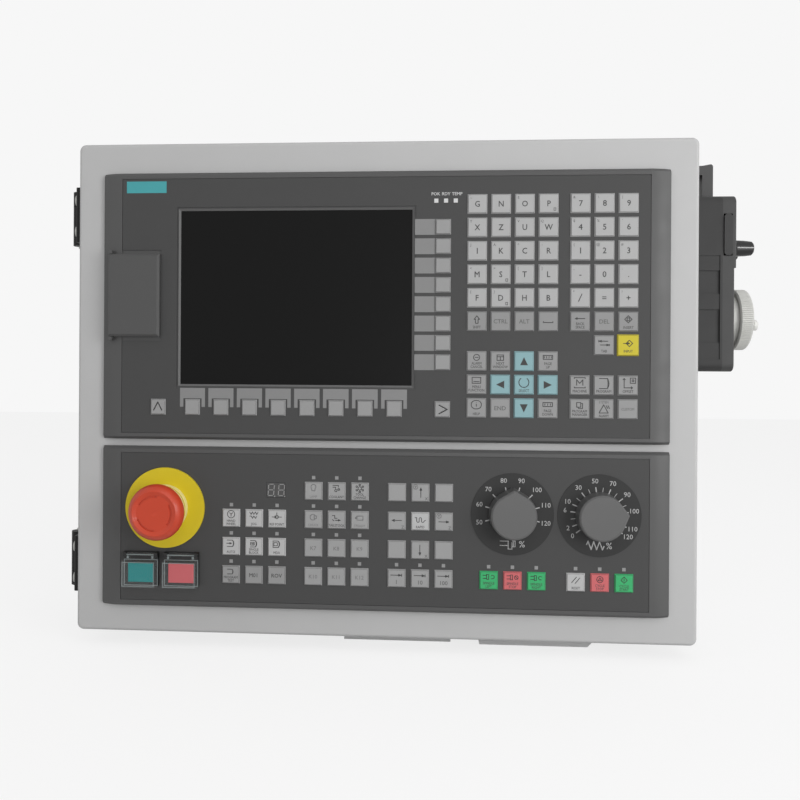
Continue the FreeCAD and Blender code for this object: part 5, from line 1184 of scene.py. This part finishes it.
    def build_digits(self) -> None:
        """Models the segments of the two digits behind their window."""
        marks = Print(self.finishes, LOWER, self.digit_level)
        half, tall = (side / 2 for side in self.digit)
        gap = self.digit_gap
        bars = [((gap - half, level), (half - gap, level)) for level in (-tall, 0.0, tall)]
        bars += [((side, middle - tall / 2 + gap), (side, middle + tall / 2 - gap))
                 for side in (-half, half) for middle in (-tall / 2, tall / 2)]
        slanted = tuple(tuple((x + y * self.digit_lean, y) for x, y in bar) for bar in bars)
        for middle in self.digit_middles:
            spot = (middle, self.digit_down)
            marks.strokes(slanted, spot, 1.0, self.digit_stroke, Finishes.SEGMENT)
            marks.patch((middle + self.dot_aside, self.dot_down), self.dot, Finishes.SEGMENT)
        marks.hand_in("digits", "digit_window", "door")


@dataclass(frozen=True)
class Dial:
    """What an override dial shows, in mm and degrees. A mark: its outer radius and its width."""

    name: str
    across: float
    first: float
    step: float
    labels: tuple[str, ...]
    long_mark: Point
    short_mark: Point
    symbol: tuple[Line, ...]
    symbol_spot: Point
    symbol_width: float


SPINDLE_DIAL = Dial(
    "spindle_scale", 307.0, -105.0, 30.0, ("50", "60", "70", "80", "90", "100", "110", "120"),
    (20.3, 0.8), (20.3, 0.8),
    path("-5.6,2.6 0.4,2.6 0.4,-3.2 3.2,-3.2 3.2,1.8 | -5.6,-0.6 0.4,-0.6 |"
         "3.2,2.8 5.4,2.8 5.4,-1.4 3.2,-1.4 | 4.2,2.8 4.2,-1.4"),
    (-3.4, 22.2), 0.65)
FEED_DIAL = Dial(
    "feed_scale", 369.4, -127.5, 15.0,
    ("0", "2", "", "6", "10", "", "30", "", "50", "", "70", "", "90", "", "100", "", "110", "120"),
    (20.9, 0.75), (20.6, 0.4),
    path("-6.3,0.5 -5.15,3 -3.05,-2.85 -1.17,2.8 0.92,-2.85 3,2.8 5.1,-2.85 6.35,-0.1"),
    (-2.85, 21.6), 0.9)


@dataclass
class DialPrint(Piece):
    """The printed scale, symbol and percent sign of an override dial, in mm."""

    down: float = 46.2
    rise: float = 0.43
    weight: float = 0.004
    inner: float = 16.2
    label_radius: float = 24.8
    label_size: float = 4.9
    lift_above: float = 0.7
    lift_below: float = 0.4
    foot_angle: float = 110.0
    foot_aside: float = 0.6
    percent_spot: Point = (7.0, 21.5)
    percent_size: float = 6.6

    def build(self, dial: Dial) -> None:
        """Prints one dial.

        Args:
            dial: What it shows.
        """
        sheet = Print(self.finishes, LOWER, self.rise, self.weight)
        ink = Finishes.DIAL_INK
        hub = (dial.across, self.down)
        for index, label in enumerate(dial.labels):
            outer, width = dial.long_mark if label else dial.short_mark
            angle = dial.first + index * dial.step
            right, under = math.sin(math.radians(angle)), -math.cos(math.radians(angle))
            middle = (self.inner + outer) / 2
            size = (width, outer - self.inner)
            sheet.patch(beside(hub, right * middle, under * middle), size, ink, angle)
            if label:
                spot = beside(hub, right * self.label_radius, under * self.label_radius)
                aside = self.foot_aside if abs(angle) > self.foot_angle else 0.0
                lift = self.lift_above if abs(angle) < 90 else self.lift_below
                sheet.word(label, beside(spot, aside, -lift), self.label_size, ink)
        sheet.strokes(dial.symbol, beside(hub, *dial.symbol_spot), 1.0, dial.symbol_width, ink)
        sheet.word("%", beside(hub, *self.percent_spot), self.percent_size, ink)
        sheet.hand_in(dial.name, "dial_plate", "door")


@dataclass
class PendantMarks(Piece):
    """The light pointer lines on the pendant's two selector knobs, in mm."""

    tip: float = 297.0
    foot: float = 282.85
    height: float = 311.2
    middles: tuple[tuple[str, float], ...] = (("axis_selector", -10.0), ("rate_selector", 26.0))
    width: float = 0.9
    end_radius: float = 4.4
    side_radius: float = 5.6
    foot_radius: float = 7.2
    edge: float = 1.2
    lift: float = 0.04

    def build(self) -> None:
        """Lays a line over each knob's end and pulls its edge over the bevel and the near side."""
        steps = ((-self.edge, self.end_radius - self.side_radius - self.lift),
                 (self.foot - self.tip + self.edge - self.lift,
                  self.side_radius - self.foot_radius))
        for body, middle in self.middles:
            Bench.clear()
            bpy.ops.mesh.primitive_plane_add(size=1)
            line = bpy.context.object
            spot = Vector((self.tip + self.lift, middle - self.end_radius / 2, self.height)) * MM
            turn = Matrix.Rotation(math.radians(90), 4, "Y")
            size = Matrix.Diagonal((self.width * MM, self.end_radius * MM, 1, 1))
            line.matrix_world = Matrix.Translation(spot) @ turn @ size
            Bench.settle(line)
            Bench.edit(line, "DESELECT")
            Bench.close()
            for side in line.data.edges:
                side.select = set(side.vertices) == {0, 1}
            bpy.ops.object.mode_set(mode="EDIT")
            for out, across in steps:
                bpy.ops.mesh.extrude_edges_move(
                    TRANSFORM_OT_translate={"value": (out * MM, across * MM, 0)})
            Bench.close()
            whole = Bench.join([line], f"{body}_line")
            self.hand_over(whole, Finishes.DIAL_INK, "black_plastic", body)
            log.info("%s: one mark", whole.name)


@dataclass
class StopCollar(Piece):
    """The pale sleeve round the emergency stop's raised ring, in mm: a cream ring whose pale colour
    is partly a painted highlight.
    """

    across: float = 49.2
    down: float = 45.6
    radius: float = 17.56
    inner: float = 14.0
    foot: float = 2.05
    top: float = 9.05
    shoulder: float = 0.6
    bend: Point = (0.7, 0.3)
    sides: int = 96
    smooth: float = 40.0

    def build(self) -> None:
        """Pulls a circle up to a sleeve and closes it inwards with a rounded shoulder."""
        Bench.clear()
        bpy.ops.mesh.primitive_circle_add(vertices=self.sides, radius=self.radius * MM)
        sleeve = bpy.context.object
        Bench.edit(sleeve)
        wide, shoulder = self.radius, self.shoulder
        high, low = self.bend
        for rise, radius in ((self.top - self.foot - shoulder, self.radius),
                             (shoulder * high, self.radius - shoulder * low),
                             (shoulder * low, self.radius - shoulder), (0.0, self.inner)):
            bpy.ops.mesh.extrude_region_move(TRANSFORM_OT_translate={"value": (0, 0, rise * MM)})
            bpy.ops.transform.resize(value=(radius / wide, radius / wide, 1))
            wide = radius
        bpy.ops.mesh.select_all(action="SELECT")
        bpy.ops.mesh.normals_make_consistent(inside=False)
        Bench.close()
        sleeve.matrix_world = LOWER.place(self.across, self.down, self.foot)
        sleeve = Bench.join([sleeve], "stop_collar")
        bpy.ops.object.shade_smooth_by_angle(angle=math.radians(self.smooth))
        self.hand_over(sleeve, Finishes.COLLAR_WITH_HIGHLIGHT, "stop_yellow", "door")
        log.info("stop_collar: one sleeve")


@dataclass
class CoverHighlights(Piece):
    """Painted highlights on the edges of the two clear button covers, in mm."""

    width: float = 25.8
    height: float = 19.8
    band: float = 0.5
    rings: tuple[Point, ...] = ((0.8, 11.32), (0.03, 3.5))
    down: float = 93.9
    arm: float = 3.8
    arm_top: float = 5.82
    arm_aside: float = 9.4
    arm_edge: Point = (1.5, 2.0)
    bar: Point = (21.0, 0.7)
    covers: tuple[tuple[str, float], ...] = (("green_button_guard", 31.8),
                                             ("red_button_guard", 62.4))

    def build(self) -> None:
        """Lays a painted highlight ring on the front and the foot of each cover, and painted
        highlight strips on its hinge bar and arms.
        """
        for body, across in self.covers:
            rings = [Bench.ring((self.width - inset * 2, self.height - inset * 2), self.band, 0,
                                LOWER.place(across, self.down, rise)) for inset, rise in self.rings]
            rim = Bench.join(rings, f"{body}_rim")
            self.hand_over(rim, Finishes.COVER_HIGHLIGHT, "clear_plastic", body)
            log.info("%s: two rings", rim.name)
            edges = Print(self.finishes, LOWER, self.arm_top)
            upper = self.down - self.height / 2
            edges.patch((across, upper - self.arm), self.bar, Finishes.COVER_HIGHLIGHT)
            for aside in (-self.arm_aside, self.arm_aside):
                spot = (across + aside, upper - self.arm / 2)
                edges.patch(spot, self.arm_edge, Finishes.COVER_HIGHLIGHT)
            edges.hand_in(f"{body}_hinge", "clear_plastic", body)


@dataclass
class Studio:
    """Camera, soft light and pale ground for the picture. Lamps: place, size, power."""

    place: tuple[float, float, float] = (0.0300, -0.7495, 0.2156)
    lens: float = 39.906
    sensor: float = 36.0
    shift: Point = (0.053, -0.0439)
    nearest: float = 0.01
    yaw: float = 4.10
    pitch: float = 0.04
    roll: float = 0.334
    background: str = "#f7f7f7"
    paper: str = "#c8c8c8"
    ambient: float = 0.52
    paleness: float = 0.78
    paper_roughness: float = 0.9
    paper_specular: float = 0.1
    floor_size: float = 6.0
    floor_level: float = -0.0005
    aim: tuple[float, float, float] = (0, -0.05, 0.2)
    lamps: tuple[tuple[str, tuple[float, float, float], float, float], ...] = (
        ("right", (1.1, -1.0, 0.3), 0.7, 9.0), ("top", (0.5, -1.3, 1.5), 1.2, 6.4),
        ("left", (-1.4, -1.2, 0.9), 1.4, 1.8), ("low", (0.3, -1.5, 0.12), 0.2, 1.6))

    def build(self) -> None:
        """Sets up everything round the console."""
        self.set_camera()
        self.set_world()
        self.set_lamps()
        self.set_floor()
        bpy.context.scene.view_settings.view_transform = "Standard"

    def set_camera(self) -> None:
        """Puts the camera where the photo was taken from."""
        turn = Matrix.Identity(3)
        for angle, axis in ((self.roll, "Z"), (self.pitch, "X"), (self.yaw, "Y")):
            turn = turn @ Matrix.Rotation(math.radians(angle), 3, axis)
        right, down, ahead = (Vector((row[0], row[2], -row[1])) for row in turn)
        bpy.ops.object.camera_add(location=self.place)
        camera = bpy.context.object
        camera.rotation_mode = "QUATERNION"
        camera.rotation_quaternion = Matrix((right, -down, -ahead)).transposed().to_quaternion()
        camera.data.sensor_width = self.sensor
        camera.data.lens = self.lens
        camera.data.shift_x, camera.data.shift_y = self.shift
        camera.data.clip_start = self.nearest
        bpy.context.scene.camera = camera

    def set_world(self) -> None:
        """Gives even white light, and a pale ground to whatever looks past the console."""
        world = bpy.data.worlds.new("studio")
        bpy.context.scene.world = world
        nodes = Nodes(world)
        light = nodes.tree.nodes["Background"]
        nodes.feed(light, {"Color": linear("#ffffff"), "Strength": self.ambient})
        shown = nodes.add("Background", {"Color": linear(self.background)})
        nodes.surface(self._sight(nodes), light.outputs[0], shown, "World Output")

    @staticmethod
    def _sight(nodes: Nodes) -> bpy.types.NodeSocket:
        """Marks the rays that look at the ground: the camera's, mirrored ones and through glass.

        Args:
            nodes: The nodes to add to.

        Returns:
            One for such a ray, else nought.
        """
        sight = nodes.add("LightPath", {}, "Is Camera Ray")
        rays = sight.node
        for name in ("Is Glossy Ray", "Is Transmission Ray"):
            sight = nodes.add("Math", {0: sight, 1: rays.outputs[name]}, operation="MAXIMUM")
        return sight

    def set_lamps(self) -> None:
        """Hangs the soft lamps, the strongest one on the right."""
        for name, place, size, power in self.lamps:
            bpy.ops.object.light_add(type="AREA", location=place)
            lamp = bpy.context.object
            lamp.name = f"{name}_lamp"
            lamp.rotation_mode = "QUATERNION"
            lamp.rotation_quaternion = (Vector(self.aim) - Vector(place)).to_track_quat("-Z", "Y")
            lamp.data.size = size
            lamp.data.energy = power

    def set_floor(self) -> None:
        """Lays a floor that looks pale, keeps the shadow and throws little light back up."""
        Bench.clear()
        bpy.ops.mesh.primitive_plane_add(size=self.floor_size, location=(0, 0, self.floor_level))
        floor = bpy.context.object
        floor.name = "floor"
        material = bpy.data.materials.new("floor_paper")
        nodes = Nodes(material)
        sight = self._sight(nodes)
        tint = nodes.blend(sight, linear(self.paper), linear(self.background))
        shader = nodes.tree.nodes["Principled BSDF"]
        nodes.feed(shader, {"Base Color": tint, "Roughness": self.paper_roughness,
                            "Specular IOR Level": self.paper_specular})
        share = nodes.add("Math", {0: sight, 1: self.paleness}, operation="MULTIPLY")
        nodes.surface(share, shader.outputs["BSDF"], nodes.add("Emission", {}), "Material Output")
        floor.data.materials.append(material)


class Console:
    """The whole console: dressed nodes, key fronts, dials and pendant."""

    def __init__(self) -> None:
        """Starts with no finish made."""
        self.finishes = Finishes()

    def build(self) -> None:
        """Builds and dresses every piece."""
        self.finishes.dress_nodes()
        log.info("nodes dressed: %d", len(frame["nodes"]))
        caps = KeyCaps(self.finishes)
        UpperUnit(self.finishes).build(caps)
        LowerUnit(self.finishes).build(caps)
        caps.put_away()
        for dial in (SPINDLE_DIAL, FEED_DIAL):
            DialPrint(self.finishes).build(dial)
        for piece in (StopCollar, CoverHighlights, PendantMarks):
            piece(self.finishes).build()


def main() -> None:
    """Builds the picture."""
    logging.basicConfig(level=logging.INFO, format="%(message)s")
    Studio().build()
    Console().build()


if __name__ == "__main__":
    main()
